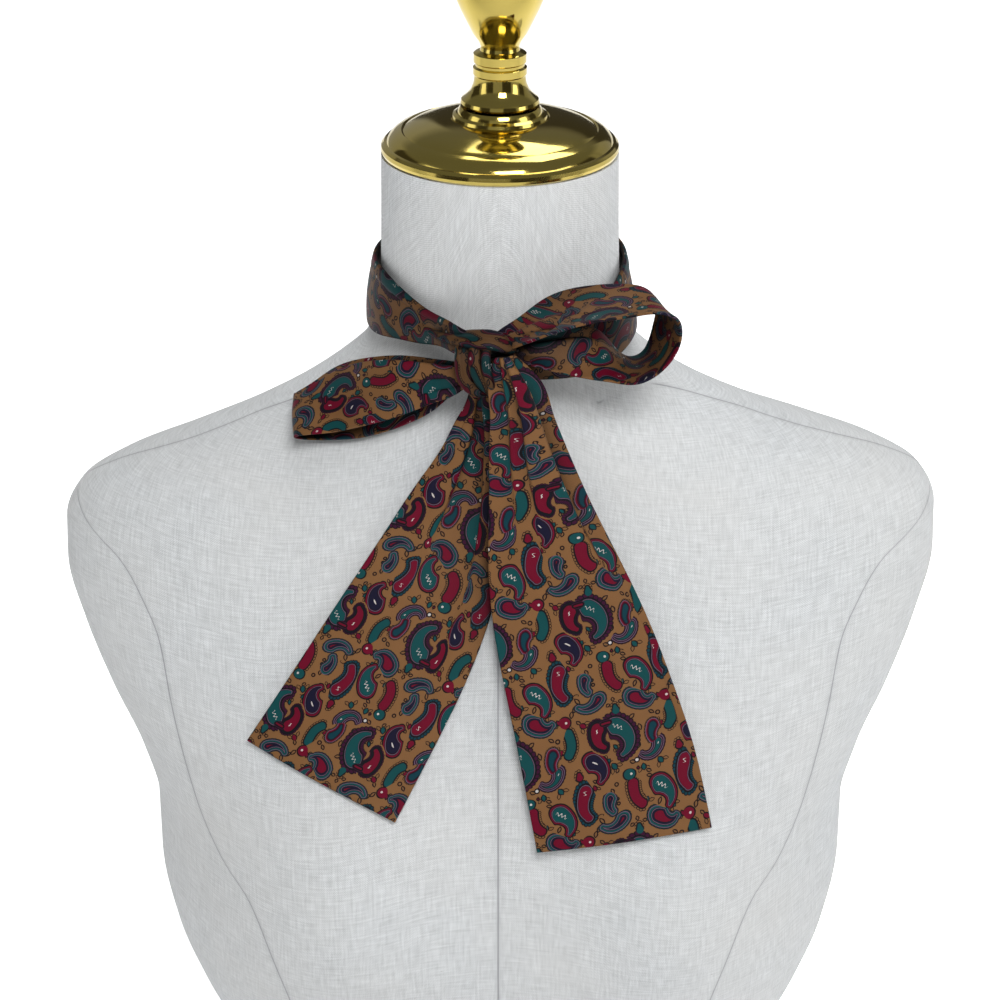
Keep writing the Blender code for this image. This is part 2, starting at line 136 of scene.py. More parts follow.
# ---------- the brass cap and finial
RIM_HEIGHT = 580.0
TURNED_SIDES = 160
CAP_PROFILE = (
    (0, -2.2), (48.6, -2.2), (49.7, -1.3), (50.2, 0), (49.9, 1.5), (48.8, 2.6), (47.6, 2.9),
    (46.6, 4.8), (43.9, 6.9), (41.4, 7.9), (40.7, 7.5), (39.8, 8.2), (36, 9.9), (30, 11.8),
    (24, 13), (20.9, 13.3), (20.3, 13), (19.8, 14.4), (18.4, 15.2), (17.9, 15), (17.5, 16.6),
    (16.6, 17.8), (0, 18.2),
)
FINIAL_PROFILE = (
    (0, 18.6), (15.8, 18.6), (16.6, 19.6), (16.2, 21), (14.2, 22.6), (12.2, 24.9), (11.1, 28),
    (10.7, 31), (11.3, 31.7), (11.3, 34.5), (10.3, 35.2), (10.3, 36.2), (11.1, 36.9), (11.1, 40.4),
    (10.2, 41.1), (8.4, 41.8), (8.1, 43.2), (9.1, 45.8), (11.6, 49.2), (14.2, 54.5), (16.8, 59.8),
    (18.6, 64.4), (19.6, 70), (19.3, 76.5), (17, 83), (12.2, 88.2), (6.2, 90.9), (0, 91.5),
)

# ---------- the scarf
# Each strand's two edges, x, y and z of one and then of the other, and how far it bellies out.
NECK_BAND = (
    (-9, -69.5, 520, -9, -72, 512, 0.5), (-14, -67.5, 521.5, -15, -71, 511.5, 0.8),
    (-20.5, -60.5, 522.8, -22, -63.5, 511.8, 1), (-31, -45.5, 523.2, -32.5, -47.5, 508, 1.3),
    (-42, -34, 528.5, -43.8, -36, 506, 1.6), (-48.5, -23, 531.5, -51.5, -25.5, 504, 1.6),
    (-53.2, 0, 532, -56.6, 0, 503.5, 1.3), (-39, 38.5, 532.5, -41.5, 40.5, 504, 1),
    (0, 53.8, 533, 0, 56.5, 504.5, 1), (39, 38.5, 532.5, 41.5, 40.5, 503.5, 1),
    (53.2, 0, 531.5, 58.2, -1, 501, 1), (48, -25, 526.5, 53, -28, 498.5, 1),
    (39.5, -38.5, 520, 43.5, -41.5, 495.5, 0.8), (29.5, -48, 514, 34, -49.5, 494.5, 0.5),
    (18, -55, 509, 23.5, -56, 495.5, 0.5), (2.5, -59, 505.5, 3, -61, 497, 0.5),
)
LOOP_LEFT = (
    (-12, -64.5, 503.5, -12, -65.5, 497, 0.4), (-19.4, -65, 505, -19.4, -67.5, 492.5, 1),
    (-25, -60.5, 503.8, -23.5, -65, 489.8, 1), (-41.7, -50, 501.6, -40.8, -62.5, 481.9, 1.5),
    (-59.4, -32.5, 493.6, -57.8, -57.5, 474.8, 1.5), (-75, -21, 482.4, -74.2, -49.5, 468.3, 1.6),
    (-83.9, -21, 476.6, -83.3, -48, 466.8, 1.4), (-88.3, -16.4, 473.4, -86.8, -43.6, 463.8, 0.6),
    (-84.6, -11.6, 473.8, -83.6, -41.4, 462.2, -0.6),
    (-71.6, -13.5, 483.6, -69.9, -46, 463.8, -2.2), (-55.3, -27, 493.9, -54.9, -49.5, 467, -1.5),
    (-38, -42.8, 500.8, -38, -53.5, 474.6, 0), (-25.5, -53.5, 503.3, -25.5, -57.8, 484, 0),
    (-19.4, -57.5, 504, -19.4, -59.5, 490, 0), (-12, -60, 503, -12, -61, 494, 0),
)
LOOP_RIGHT = (
    (-9, -63, 511, -9, -70, 510, 0.3), (-3, -63, 517.5, -2.5, -73, 512.5, 0.8),
    (1.8, -62, 521, 3, -75, 515.5, 1.4), (8, -57.5, 523.6, 11.5, -77.5, 520, 2),
    (18.6, -48.5, 528.3, 24, -79.8, 525.6, 2.4), (35.3, -42.5, 531.4, 39.7, -76, 528.4, 2.2),
    (52, -39.5, 531.2, 53.6, -72.5, 529.3, 1.2), (62, -38, 527.8, 65, -69.5, 529.5, 0.8),
    (65.4, -37.5, 521.5, 72, -67.5, 526.5, 0.6), (64.6, -37.5, 513.5, 74.3, -66.5, 520.5, 0.6),
    (62.6, -38.5, 506, 73, -67, 513, 0.6), (59.5, -40.5, 501.3, 68.3, -69, 506.2, 0.4),
    (53, -43.5, 500.7, 59.5, -72, 500.7, 0), (43.4, -52.5, 513.4, 45.8, -75, 501.6, -1.2),
    (36.5, -61, 520.6, 37, -77, 503.6, -1.8), (31, -64.5, 521.8, 31, -77.5, 505, -2),
    (18, -67, 519.6, 18.3, -77, 508, -2), (8.5, -67, 517.2, 8.5, -75.5, 510.2, -1.6),
    (1, -66, 514, 1.5, -73, 510, -0.8), (-9, -63, 508, -9, -69, 506, 0),
)
TAIL_LEFT = (
    (-12.5, -64, 498.5, -3.5, -65, 498, 0.6), (-14, -60, 487.3, -4.5, -61.5, 486.3, 1),
    (-18.5, -60, 478.5, -1.5, -63, 474, 1.2), (-23.5, -61.5, 468.5, 0, -65, 462, 1.4),
    (-34.4, -64.5, 452.5, 1.5, -70, 441.8, 1.2), (-48.8, -70.3, 431.5, 0, -78.5, 416.2, 1),
    (-68.3, -79, 403.5, -11, -90.8, 380.6, 1.2), (-87.7, -86, 374.4, -27, -101.2, 347.8, 1.8),
    (-107.9, -90.2, 343.5, -44.4, -112.9, 316.3, 3.4),
)
TAIL_RIGHT = (
    (-2.5, -78, 513.5, 6, -77, 514.5, 1), (-5, -79.5, 502, 17, -75, 502, 1.6),
    (-4.2, -78.5, 490.8, 21.3, -71.5, 488.8, 1.6), (-4.4, -76.5, 474, 25.4, -69.5, 476.2, 1.4),
    (-4.6, -78.5, 450.4, 35, -71.5, 453.2, 1), (-4.9, -84.5, 423.5, 47, -78, 429.7, 0.8),
    (-2.1, -92.5, 393.7, 61, -85, 401.7, 0.8), (4.6, -101.5, 360.2, 74.3, -93, 368.5, 1.4),
    (10.6, -109, 330.2, 83, -101, 342.7, 2.6), (15.7, -116, 303.5, 89.8, -111.5, 313.2, 4.2),
)
# Folds: where the line starts and ends across the strand, its half width, lap, drop and ridge,
# where along the strand it is strongest, and how far it reaches from there.
NECK_BAND_FOLDS = (
    (0.17, 0.13, 0.035, 1.5, 1.2, 0, 0.1, 0.16), (0.45, 0.45, 0.16, 0.3, 0, -1.1, 0.06, 0.1),
    (0.2, 0.16, 0.035, 1.4, 1, 0, 0.8, 0.2), (0.55, 0.55, 0.18, 0.2, 0, 1, 1, 0.14),
)
LOOP_LEFT_FOLDS = (
    (0.36, 0.47, 0.08, 1.2, 1.6, 0, 0.02, 0.17), (0.74, 0.66, 0.07, 1, -1.2, 0, 0.02, 0.13),
    (0.12, 0.08, 0.05, 1.2, 0.8, 0, 0.22, 0.14), (0.5, 0.5, 0.12, 0.3, 0, -1.8, 1, 0.18),
)
LOOP_RIGHT_FOLDS = (
    (1.47, -2.23, 0.1, 1.6, 4.2, 0, 0.2, 0.05), (0.42, 0.3, 0.08, 1.2, 2.2, 0, 0.08, 0.11),
    (0.55, 1.1, 0.09, 1.3, -2.4, 0, 0.2, 0.1), (0.22, 0.22, 0.05, 1.4, -2.2, 0, 0.82, 0.13),
    (0.1, 0.1, 0.05, 1.2, 1, 0, 0.46, 0.12), (0.62, 0.62, 0.1, 0.3, 0, -1.2, 1, 0.1),
)
TAIL_LEFT_FOLDS = (
    (0.42, 0.3, 0.06, 1.7, 3.6, 0, 0.06, 0.28), (0.72, 0.84, 0.075, 1.8, -3.6, 0, 0.1, 0.4),
    (0.2, 0.1, 0.05, 0.9, 1, 0, 0.1, 0.2),
)
TAIL_RIGHT_FOLDS = (
    (0.64, 1.12, 0.07, 2.1, 7, 0, 0.18, 0.26), (0.3, 0.16, 0.06, 1.5, -2.6, 1, 0.08, 0.24),
    (0.47, 0.4, 0.06, 1.5, -3, 0, 0.06, 0.26), (0.95, 0.95, 0.016, 1.6, 1.3, 0, 0.72, 0.2),
)
# Each strand: the node it replaces, its edges and folds, its half wall, its steps along and across,
# and the pressed tube's width where it shows whole. Then how the print lies on it: upright or
# turned, its shift across and along, its lean, and how much more of it there is across the strand,
# where the cloth curves away from the front.
STRANDS = {
    "band_cloth": (
        "neck_band", NECK_BAND, NECK_BAND_FOLDS, 1, (240, 90), None, (1, 0, 0, 0, 1.15)),
    "left_loop": (
        "loop_left", LOOP_LEFT, LOOP_LEFT_FOLDS, 0.6, (170, 60), None, (-1, 12.6, 18.3, 0, 1.12)),
    "right_loop": (
        "loop_right", LOOP_RIGHT, LOOP_RIGHT_FOLDS, 0.6, (170, 60), None, (1, 0, 0, 0, 1.12)),
    "left_tail": (
        "tail_left", TAIL_LEFT, TAIL_LEFT_FOLDS, 0.6, (130, 130), 75, (-1, 5.7, 15.8, 0, 1.15)),
    "right_tail": (
        "tail_right", TAIL_RIGHT, TAIL_RIGHT_FOLDS, 0.6, (150, 150), 75, (1, 0, -17.1, 0.117, 1)),
}
# The knot's rolls of cloth, row by row: x, y, z, half width, half depth.
KNOT_CORE = (-64, 501)
KNOT_ROLLS = (
    ((-13, -60, 513, 2.8, 1.8), (-14.4, -68, 516.6, 3.3, 2.4), (-15, -73.6, 514.2, 3.5, 2.7),
     (-14.8, -76.4, 508.6, 3.6, 2.9), (-13.4, -76.8, 503, 3.5, 2.9), (-10.6, -75.8, 499, 3, 2.6),
     (-7, -73.2, 496.6, 2.5, 2.2), (-4, -68, 495.6, 2, 1.8)),
    ((-8.4, -64, 516, 2.2, 1.8), (-9.2, -71, 518.2, 2.5, 2.2), (-10.2, -76.2, 515, 2.7, 2.6),
     (-10, -78.6, 509.6, 2.8, 2.7), (-8.2, -78.8, 504.4, 2.6, 2.7), (-5.6, -77.4, 500.4, 2.2, 2.3),
     (-3.4, -74.4, 497.6, 1.9, 2), (-2, -69, 496.2, 1.6, 1.7)),
    ((-4.2, -66, 517, 1.7, 1.8), (-5, -73, 518, 1.9, 2), (-5.8, -77.6, 514.4, 2.1, 2.3),
     (-5.6, -79.6, 509.2, 2.1, 2.4), (-4.4, -79.6, 504.2, 2, 2.3), (-3, -78, 500.6, 1.7, 2),
     (-1.6, -75, 498, 1.4, 1.7), (-0.8, -70, 496.6, 1.2, 1.5)),
    ((-27, -53, 515.4, 5.4, 1.2), (-20.5, -62.6, 516.8, 5.4, 1.9), (-14, -69.8, 518.8, 5.1, 2.6),
     (-8, -73.6, 519.8, 4.9, 2.9), (-2, -74.8, 519.6, 4.5, 2.8), (2.2, -73.6, 517.2, 3.9, 2.6),
     (5, -69.6, 514, 3.1, 2.2)),
)
ROLL_STEPS = (60, 48)
ROLL_ROUNDING = 0.8
ROLL_WRINKLE = (0.05, 3, 0.35)
ROLL_END_STEPS = 4
ROLL_END = 0.05
ROLL_SPREAD = 1.4
ROLL_GROOVES = ((1.1, 0.13, 0.4), (2.1, 0.1, -0.3))
GROOVE_WIDTH = 0.22
ROLL_SHIFTS = ((0, 5), (20, 28), (8, 12), (14, 30))
FULL_FOLD_WIDTH = 15.0
HIDDEN_EDGE = 0.45
STEP_SHARPNESS = 1.25
EDGE_HOLD = 0.5
EDGE_TURNS = 4
HIDDEN_SHARE = 0.35
TURNED_UNDER = 0.2
END_FULLNESS = 0.15

# ---------- the print
# One repeat of the print, in millimetres: across the scarf, and along it toward the hem.
TILE = (41, 51)
PRINT_STRETCH = (1.07, 1.024)
# Each motif lies along an arc of the given radius, from a round head to a tail that hooks inward.
# Its columns: across, along, turn, side, radius, length, head, tail, hook, style.
MOTIFS = (
    (3.6, 5.6, 85, 1, 8.4, 16, 4, 1.3, 1.5, "great_teal"),
    (-9, 2.8, 87, -1, 8, 9, 3.4, 1.8, 1, "crimson_in_navy"),
    (-4.2, -3.2, 0, 1, 20, 3, 1.5, 1.5, 0, "purple_bead"),
    (0.8, -8.2, -90, 1, 20, 2, 1.6, 0.8, 0, "teal_bead"),
    (12.4, -7.7, 25, -1, 6.5, 8.4, 4.3, 1.5, 1.5, "teal_rings"),
    (-8.9, -11.2, 168, 1, 6.5, 9.9, 2.7, 1.2, 0.5, "teal_rings"),
    (-9.2, -20.4, 92, -1, 7, 6, 2.5, 1.5, 0.5, "teal_rings"),
    (1.4, -21.6, 81, -1, 14, 9.8, 2.1, 1.9, 0.8, "crimson_bead"),
    (0.8, -30.5, 0, 1, 20, 0.2, 2.3, 2.3, 0, "teal_flower"),
    (-9.2, -35.8, 74, 1, 7.3, 10.5, 4.4, 1.6, 1.5, "crimson_rings"),
    (15.2, -18.4, 72, 1, 8.4, 11, 4.4, 1.5, 1.2, "teal_in_crimson"),
    (-19.6, -23.6, 100, -1, 16, 12, 3, 2.1, 1.5, "great_crimson"),
    (-18.7, -36.2, -90, 1, 20, 1.5, 1.4, 0.8, 0, "crimson_bead"),
    (-19.2, 1.2, 95, 1, 14, 9, 1.9, 1.9, 0.8, "teal_bead"),
    (-20.1, -7.8, 0, 1, 20, 0.2, 2.4, 2.4, 0, "crimson_flower"),
    (11.6, 15, 154, 1, 5.3, 10.8, 2.4, 1.2, 1, "purple_rings"),
    (12.5, 6.2, 105, -1, 8, 6.2, 2.7, 1.7, 0.4, "crimson_small"),
)
TEAL = (0.003, 0.05, 0.053)
DEEP_TEAL = (0.002, 0.032, 0.046)
CRIMSON = (0.118, 0.001, 0.014)
PURPLE = (0.034, 0.003, 0.02)
NAVY = (0.006, 0.005, 0.02)
INK = (0.004, 0.003, 0.005)
LILAC = (0.12, 0.078, 0.12)
TAN = (0.162, 0.077, 0.029)
PALE = (0.48, 0.44, 0.42)
WORN_TAN = (0.19, 0.09, 0.034)
# A style's rings from its edge inward, the line between the first two, the bead that edges it, the
# rings' depths and the beads' width in millimetres, and its white mark: half sizes and waviness.
LINED_STYLES = ("teal_rings", "purple_rings", "crimson_small")
NO_MARK = (0, 0, 0)
DOT_MARK = (0.5, 0.5, 0)
STYLES = {
    "great_teal": (LILAC, TEAL, TEAL, LILAC, PURPLE, 0.3, 9, 1.9, (2.4, 0.2, 1)),
    "crimson_in_navy": (NAVY, CRIMSON, CRIMSON, INK, PURPLE, 0.5, 9, 0.9, (0.9, 0.22, 0.3)),
    "purple_bead": (PURPLE, CRIMSON, CRIMSON, INK, LILAC, 0.7, 9, 1, NO_MARK),
    "teal_bead": (TEAL, TEAL, DEEP_TEAL, TEAL, TAN, 9, 9, 1.1, NO_MARK),
    "teal_rings": (TEAL, NAVY, CRIMSON, LILAC, TEAL, 1.1, 2.3, 0.7, NO_MARK),
    "crimson_bead": (CRIMSON, CRIMSON, CRIMSON, CRIMSON, TAN, 9, 9, 1.2, NO_MARK),
    "teal_flower": (TEAL, TEAL, TEAL, TEAL, TEAL, 9, 9, 0, DOT_MARK),
    "crimson_rings": (CRIMSON, PURPLE, NAVY, LILAC, TAN, 1, 1.7, 0, (1.3, 0.28, 0)),
    "teal_in_crimson": (CRIMSON, TEAL, TEAL, LILAC, TAN, 0.9, 9, 0, (2.6, 0.26, 1)),
    "great_crimson": (LILAC, CRIMSON, CRIMSON, LILAC, DEEP_TEAL, 0.3, 9, 1.6, (1, 0.2, 0.9)),
    "crimson_flower": (CRIMSON, CRIMSON, CRIMSON, CRIMSON, TAN, 9, 9, 0, DOT_MARK),
    "purple_rings": (PURPLE, NAVY, TEAL, LILAC, PURPLE, 0.7, 1.3, 0.7, (0.5, 0.18, 0.2)),
    "crimson_small": (CRIMSON, NAVY, DEEP_TEAL, PURPLE, TAN, 0.9, 1.3, 0.7, NO_MARK),
}
DEEPEST_RING = 9.0
WIDEST_BEAD = 4.0
# Small leaves and dots between the motifs, by filling: across, along, turn, half length and width.
SPRIGS = (
    (TAN, (
        (-3.6, -33.6, 120, 1, 0.6), (-14.6, -6.4, 50, 1.2, 0.6), (-5, -28.2, 0, 0.7, 0.7),
        (-7, -26, 70, 1.1, 0.6), (-13.2, -15.2, 60, 1.5, 0.7), (-14.9, -12.3, -60, 1.5, 0.7),
        (-16.6, -10.4, -70, 1.4, 0.7), (10.6, -16.3, -60, 1.4, 0.6), (8.2, -14.6, 20, 1.1, 0.6),
        (16.8, -1.4, 0, 0.8, 0.8), (8.6, 21.4, 30, 1.1, 0.6), (16.6, 2.6, 0, 0.7, 0.6),
        (16.2, 5, 0, 0.6, 0.6), (-5.7, -22.3, 0, 0.6, 0.6), (-5.6, -20.3, 0, 0.6, 0.6),
        (14.4, -2.5, 40, 1.2, 0.6), (3.4, -10.6, 20, 0.9, 0.6), (-1.8, -10.2, -30, 0.9, 0.6),
        (0.6, -12.2, 90, 0.9, 0.6), (8.6, 2.4, 80, 1.4, 0.7), (3, 15.8, 30, 1.2, 0.7),
        (-14.2, 8.4, 20, 1.2, 0.6), (6.4, -3, -30, 1.3, 0.7), (8.4, -27.6, 20, 1.1, 0.6),
        (10.4, -10.9, -20, 1, 0.6), (-12.9, -32, 30, 1.1, 0.6), (6.8, 9.8, -70, 1.2, 0.6),
    )),
    (TEAL, (
        (-4.4, -35.7, 60, 1.7, 1.1), (5.4, -18.2, -50, 1.6, 1.1), (6.9, 19.3, 90, 1.5, 1),
        (14, 18.8, 60, 1.6, 1.1), (-2.4, 7.6, 60, 1.3, 0.7), (-6.6, 12.6, -40, 1.5, 1),
        (9.8, -24.8, 60, 1.6, 1.1), (-25.6, -13.2, 50, 1.5, 1),
    )),
    (CRIMSON, (
        (-13.2, -4.7, 40, 1.6, 1.1), (-15.9, -17.4, -60, 1.9, 1.3), (-24.2, 3.6, -40, 1.6, 1.1),
        (4.6, -32, 0, 0.5, 0.5), (18.6, -8.6, 70, 1.3, 0.7), (-13.6, -29.4, 80, 1.3, 0.8),
        (-12, 11.4, 70, 1.1, 0.6),
    )),
    (PALE, ((4.8, -35.4, 0, 0.9, 0.9),)),
)
# The plain leaf beside a coloured one, in half widths of that one.
SIDE_LEAF_PINCH = 1.5
SIDE_LEAF_PLACE = (0.9, 1.7, 0)
SIDE_LEAF_TURN = 40.0
SIDE_LEAF_SIZE = (1.1, 0.6, 1)
# The fillings as even shares: the middle of the two coloured ones, and how near it they are.
COLOURED = 0.5
NEAR_COLOURED = 0.2
FARTHEST = 99.0
# Lines round and inside a motif, in mm from its edge or its rings.
LINE_HALF = 0.28
OUTLINE = LINE_HALF * 1.6
EDGE_LINE = 0.1
RIM_DEPTH = 0.16
RING_INK = 0.24
RING_LINE = 0.42
THIN_INK = 0.2
SOFT_EDGE = 0.07
# Beads: how their pitch grows with their width, their rim, and the narrowest one drawn.
BEAD_PITCH = (0.22, 0.86)
BEAD_RIM = 0.12
LEAST = 0.05
# White marks: how fast and how far they wave, where they start, and the shortest one drawn.
MARK_WAVES = 3.9
MARK_SWING = 2.4
MARK_START = 0.8
MARK_LEAST = 0.01
INK_BLEED = (0.22, 0.22, 0)
TWILL_PITCH = 0.55
TWILL_SHADES = (0.9, 1.09)
# Painted shade in the creases: how near cloth darkens them, in metres, how open the darkest one is,
# and its shade.
CREASE_REACH = 0.016
CREASE_FROM = 0.3
CREASE_SHADE = 0.06
# How dark each piece's painted shade is, which stands in for creases too small to model; 1 is plain
# cloth.
PAINTED_PIECE_SHADE = {"knot_wrap": 0.42, "band_cloth": 0.58, "right_loop": 0.8, "left_loop": 0.92}

# ---------- linen, brass and board
THREAD_PITCH = 0.95
WEAVE_HEIGHT = 0.6
# How far the linen's threads wander, as a turn of their wave.
WEAVE_WANDER = 3.4
SLUB_SIZE = (1.1, 0.09)
SLUB_HEIGHT = 1.4
LINEN_HEIGHTS = (0.25, 2.55)
LINEN_LOW = (0.31, 0.322, 0.33)
LINEN_HIGH = (0.79, 0.808, 0.818)
LINEN_CLOUD = (0.6, 0.59, 0.57)
SEAM_LINE = (0.2, 0.2, 0.21)
SEAM_SHADE = (0.33, 0.34, 0.36)
SEAM_DEPTH = 9.0
LINT = (0.16, 0.14, 0.13)
BRASS = (0.6, 0.47, 0.13)
WORN_BRASS = (0.5, 0.39, 0.09)
BOARD_LOW = (0.62, 0.62, 0.64)
BOARD_HIGH = (0.74, 0.74, 0.76)
BOARD_GRAIN = (8, 260, 260)


# ---------- node trees
def operator(kind):
    return lambda *terms: terms[0].net.math(kind, *terms)


class Value:
    """A number in a node tree. A sum with it adds the node that works it out."""

    __add__ = operator("ADD")
    __sub__ = operator("SUBTRACT")
    __mul__ = operator("MULTIPLY")
    __truediv__ = operator("DIVIDE")
    __abs__ = operator("ABSOLUTE")

    def __init__(self, net, socket):
        self.net, self.socket = net, socket

    def __rsub__(self, other):
        return self.net.math("SUBTRACT", other, self)


class Net:
    """Adds nodes to a tree, and feeds each input with a link or a plain value."""

    def __init__(self, tree):
        self.tree = tree

    def add(self, kind, inputs=(), **settings):
        node = self.tree.nodes.new("ShaderNode" + kind)
        for name, value in settings.items():
            setattr(node, name, value)
        for key, value in dict(inputs).items():
            self.feed(node.inputs[key], value)
        return node

    def feed(self, socket, value):
        value = getattr(value, "socket", value)
        if isinstance(value, bpy.types.NodeSocket):
            self.tree.links.new(value, socket)
        else:
            socket.default_value = opaque(value) if socket.type == "RGBA" else value

    def filled(self, node, values):
        for socket, value in zip(node.inputs, values):
            self.feed(socket, value)
        return node.outputs

    def math(self, operation, *values, clamp=False):
        node = self.add("Math", operation=operation, use_clamp=clamp)
        return Value(self, self.filled(node, values)[0])

    def madd(self, value, times, more, clamp=False):
        return self.math("MULTIPLY_ADD", value, times, more, clamp=clamp)

    def vector(self, operation, *values):
        return self.filled(self.add("VectorMath", operation=operation), values)["Vector"]

    def length(self, vector):
        return Value(self, self.add("VectorMath", {0: vector}, operation="LENGTH").outputs["Value"])

    def join(self, x, y):
        return self.add("CombineXYZ", {"X": x, "Y": y}).outputs[0]

    def reach(self, x, y):
        return self.length(self.join(x, y))

    def split(self, vector):
        return [Value(self, part) for part in self.add("SeparateXYZ", {0: vector}).outputs]

    def turned(self, vector, place, angle, size):
        """The vector as seen from a place, turned by an angle, in the given sizes."""
        inputs = {"Vector": vector, "Location": place, "Rotation": (0, 0, angle), "Scale": size}
        return self.add("Mapping", inputs, vector_type="TEXTURE").outputs[0]

    def mix_vector(self, share, first, second):
        return self.add("Mix", {0: share, 4: first, 5: second}, data_type="VECTOR").outputs[1]

    def mix(self, share, first, second, blend="MIX"):
        inputs = {0: share, 6: first, 7: second}
        return self.add("Mix", inputs, data_type="RGBA", blend_type=blend).outputs[2]

    def ramp(self, share, low, high, start=0.0, end=1.0):
        """Start below low, end above high, and a straight change between them."""
        node = self.add("MapRange", clamp=True)
        return Value(self, self.filled(node, (share, low, high, start, end))[0])

    def below(self, value, limit):
        """1 where value is under limit and 0 where it is over, softened between them."""
        return self.ramp(value - limit, -SOFT_EDGE, SOFT_EDGE, 1.0, 0.0)

    def pick(self, share, colours):
        """The colour at that share of an even row of colours, with no blending between them."""
        node = self.add("ValToRGB", {0: share})
        ramp = node.color_ramp
        ramp.interpolation = "CONSTANT"
        for i, colour in enumerate(colours):
            place = i / len(colours)
            stop = ramp.elements[i] if i < 2 else ramp.elements.new(place)
            stop.position, stop.color = place, opaque(colour)
        return node.outputs[0]

    def noise(self, vector, scale, detail):
        """A cloudy number, and a cloudy colour."""
        node = self.add("TexNoise", {"Vector": vector, "Scale": scale, "Detail": detail})
        return Value(self, node.outputs[0]), node.outputs["Color"]

    def object_place(self):
        return self.add("TexCoord").outputs["Object"]

    def bump(self, shader, height, strength, depth):
        node = self.add("Bump", {"Height": height, "Strength": strength, "Distance": depth})
        self.feed(shader["Normal"], node.outputs[0])


def opaque(colour):
    return (*colour[:3], 1.0)


# ---------- the paisley print
def motif_frames():
    """Each motif's place, angle and sizes, its arc's facts, and those of its ends and style."""
    names = list(STYLES)
    for across, along, turn, side, radius, length, head, tail, hook, style in MOTIFS:
        angle = math.radians(turn)
        half_sag = radius * (1 - math.cos(length / 2 / radius)) / 2
        x = across - side * half_sag * math.sin(angle)
        y = along + side * half_sag * math.cos(angle)
        size = (length / 2 + head, side * (head + half_sag), 1.0)
        share = (names.index(style) + 0.5) / len(names)
        yield (x, y), angle, size, (radius, length, hook), (head, tail, share)


def sprig_frames():
    """Each sprig's place, angle and sizes, and its half width, pointedness and filling."""
    for k, (_, rows) in enumerate(SPRIGS):
        for across, along, turn, half_length, half_width in rows:
            facts = (half_width, float(half_length != half_width), (k + 0.5) / len(SPRIGS))
            yield (across, along), math.radians(turn), (half_length, half_width, 1.0), facts


def nearest_frame(net, cloth, frames):
    """How far a point is from the middle of its nearest frame, its place in it, and its facts."""
    best, chosen = FARTHEST, [(0.0, 0.0, 0.0)] * 3
    for (x, y), angle, size, *facts in frames:
        top = (x + TILE[0] / 2, y + TILE[1] / 2, 1.0)
        bottom = (x - TILE[0] / 2, y - TILE[1] / 2, -1.0)
        here = net.turned(net.vector("WRAP", cloth, top, bottom), (x, y, 0.0), angle, size)
        far = net.length(here)
        closer = net.math("LESS_THAN", far, best)
        chosen = [net.mix_vector(closer, old, new) for old, new in zip(chosen, (here, *facts))]
        best = net.math("MINIMUM", far, best)
    return best, *chosen


def motif_depth(net, local, curve, taper):
    """Distance out from a motif's edge, places along its contour and from its head, and bend."""
    radius, length, hook = net.split(curve)
    head, tail, _ = net.split(taper)
    wide, tall, _ = net.split(local)
    half_turn = length * 0.5 / radius
    half_sag = radius * (1.0 - net.math("COSINE", half_turn)) * 0.5
    x = wide * net.madd(length, 0.5, head)
    y = net.madd(tall, head + half_sag, half_sag)
    down = radius - y
    run = net.math("ARCTAN2", x, down) * radius
    off = net.reach(x, down) - radius
    share = net.math("ADD", run / length, 0.5, clamp=True)
    late = net.madd(share, 2.0, -1.0, clamp=True)
    bent = net.madd(late * late, hook, off)
    place = (share - 0.5) * length
    past = run - place
    thick = net.madd(share, tail - head, head)
    out = net.reach(past, bent) - thick
    swing = net.math("ARCTAN2", past, abs(bent))
    contour = net.madd(swing, thick + 0.5, place)
    return out, contour, run + length * 0.5, bent


def sprig_layer(net, cloth, ground):
    """Small leaves and dots in black outline, on the ground colour."""
    best, local, look = nearest_frame(net, cloth, sprig_frames())
    size, pointed, share = net.split(look)
    x, y, _ = net.split(local)
    leaf = net.madd(x, x, abs(y))
    out = (net.madd(pointed, leaf - best, best) - 1.0) * size
    filling = net.pick(share, [colour for colour, _ in SPRIGS])
    # A coloured leaf has a plain one on either side.
    beside = net.vector("SUBTRACT", net.join(x * SIDE_LEAF_PINCH, abs(y)), SIDE_LEAF_PLACE)
    angle = math.radians(SIDE_LEAF_TURN)
    x, y, _ = net.split(net.turned(beside, (0, 0, 0), angle, SIDE_LEAF_SIZE))
    side = (net.madd(x, x, abs(y)) - 1.0) * SIDE_LEAF_SIZE[1] * size
    coloured = net.math("COMPARE", share, COLOURED, NEAR_COLOURED)
    colour = net.mix(net.below(side, THIN_INK) * coloured, ground, INK)
    colour = net.mix(net.below(side, -RIM_DEPTH) * coloured, colour, TAN)
    colour = net.mix(net.below(out, LINE_HALF), colour, INK)
    return net.mix(net.below(out, -LINE_HALF), colour, filling)


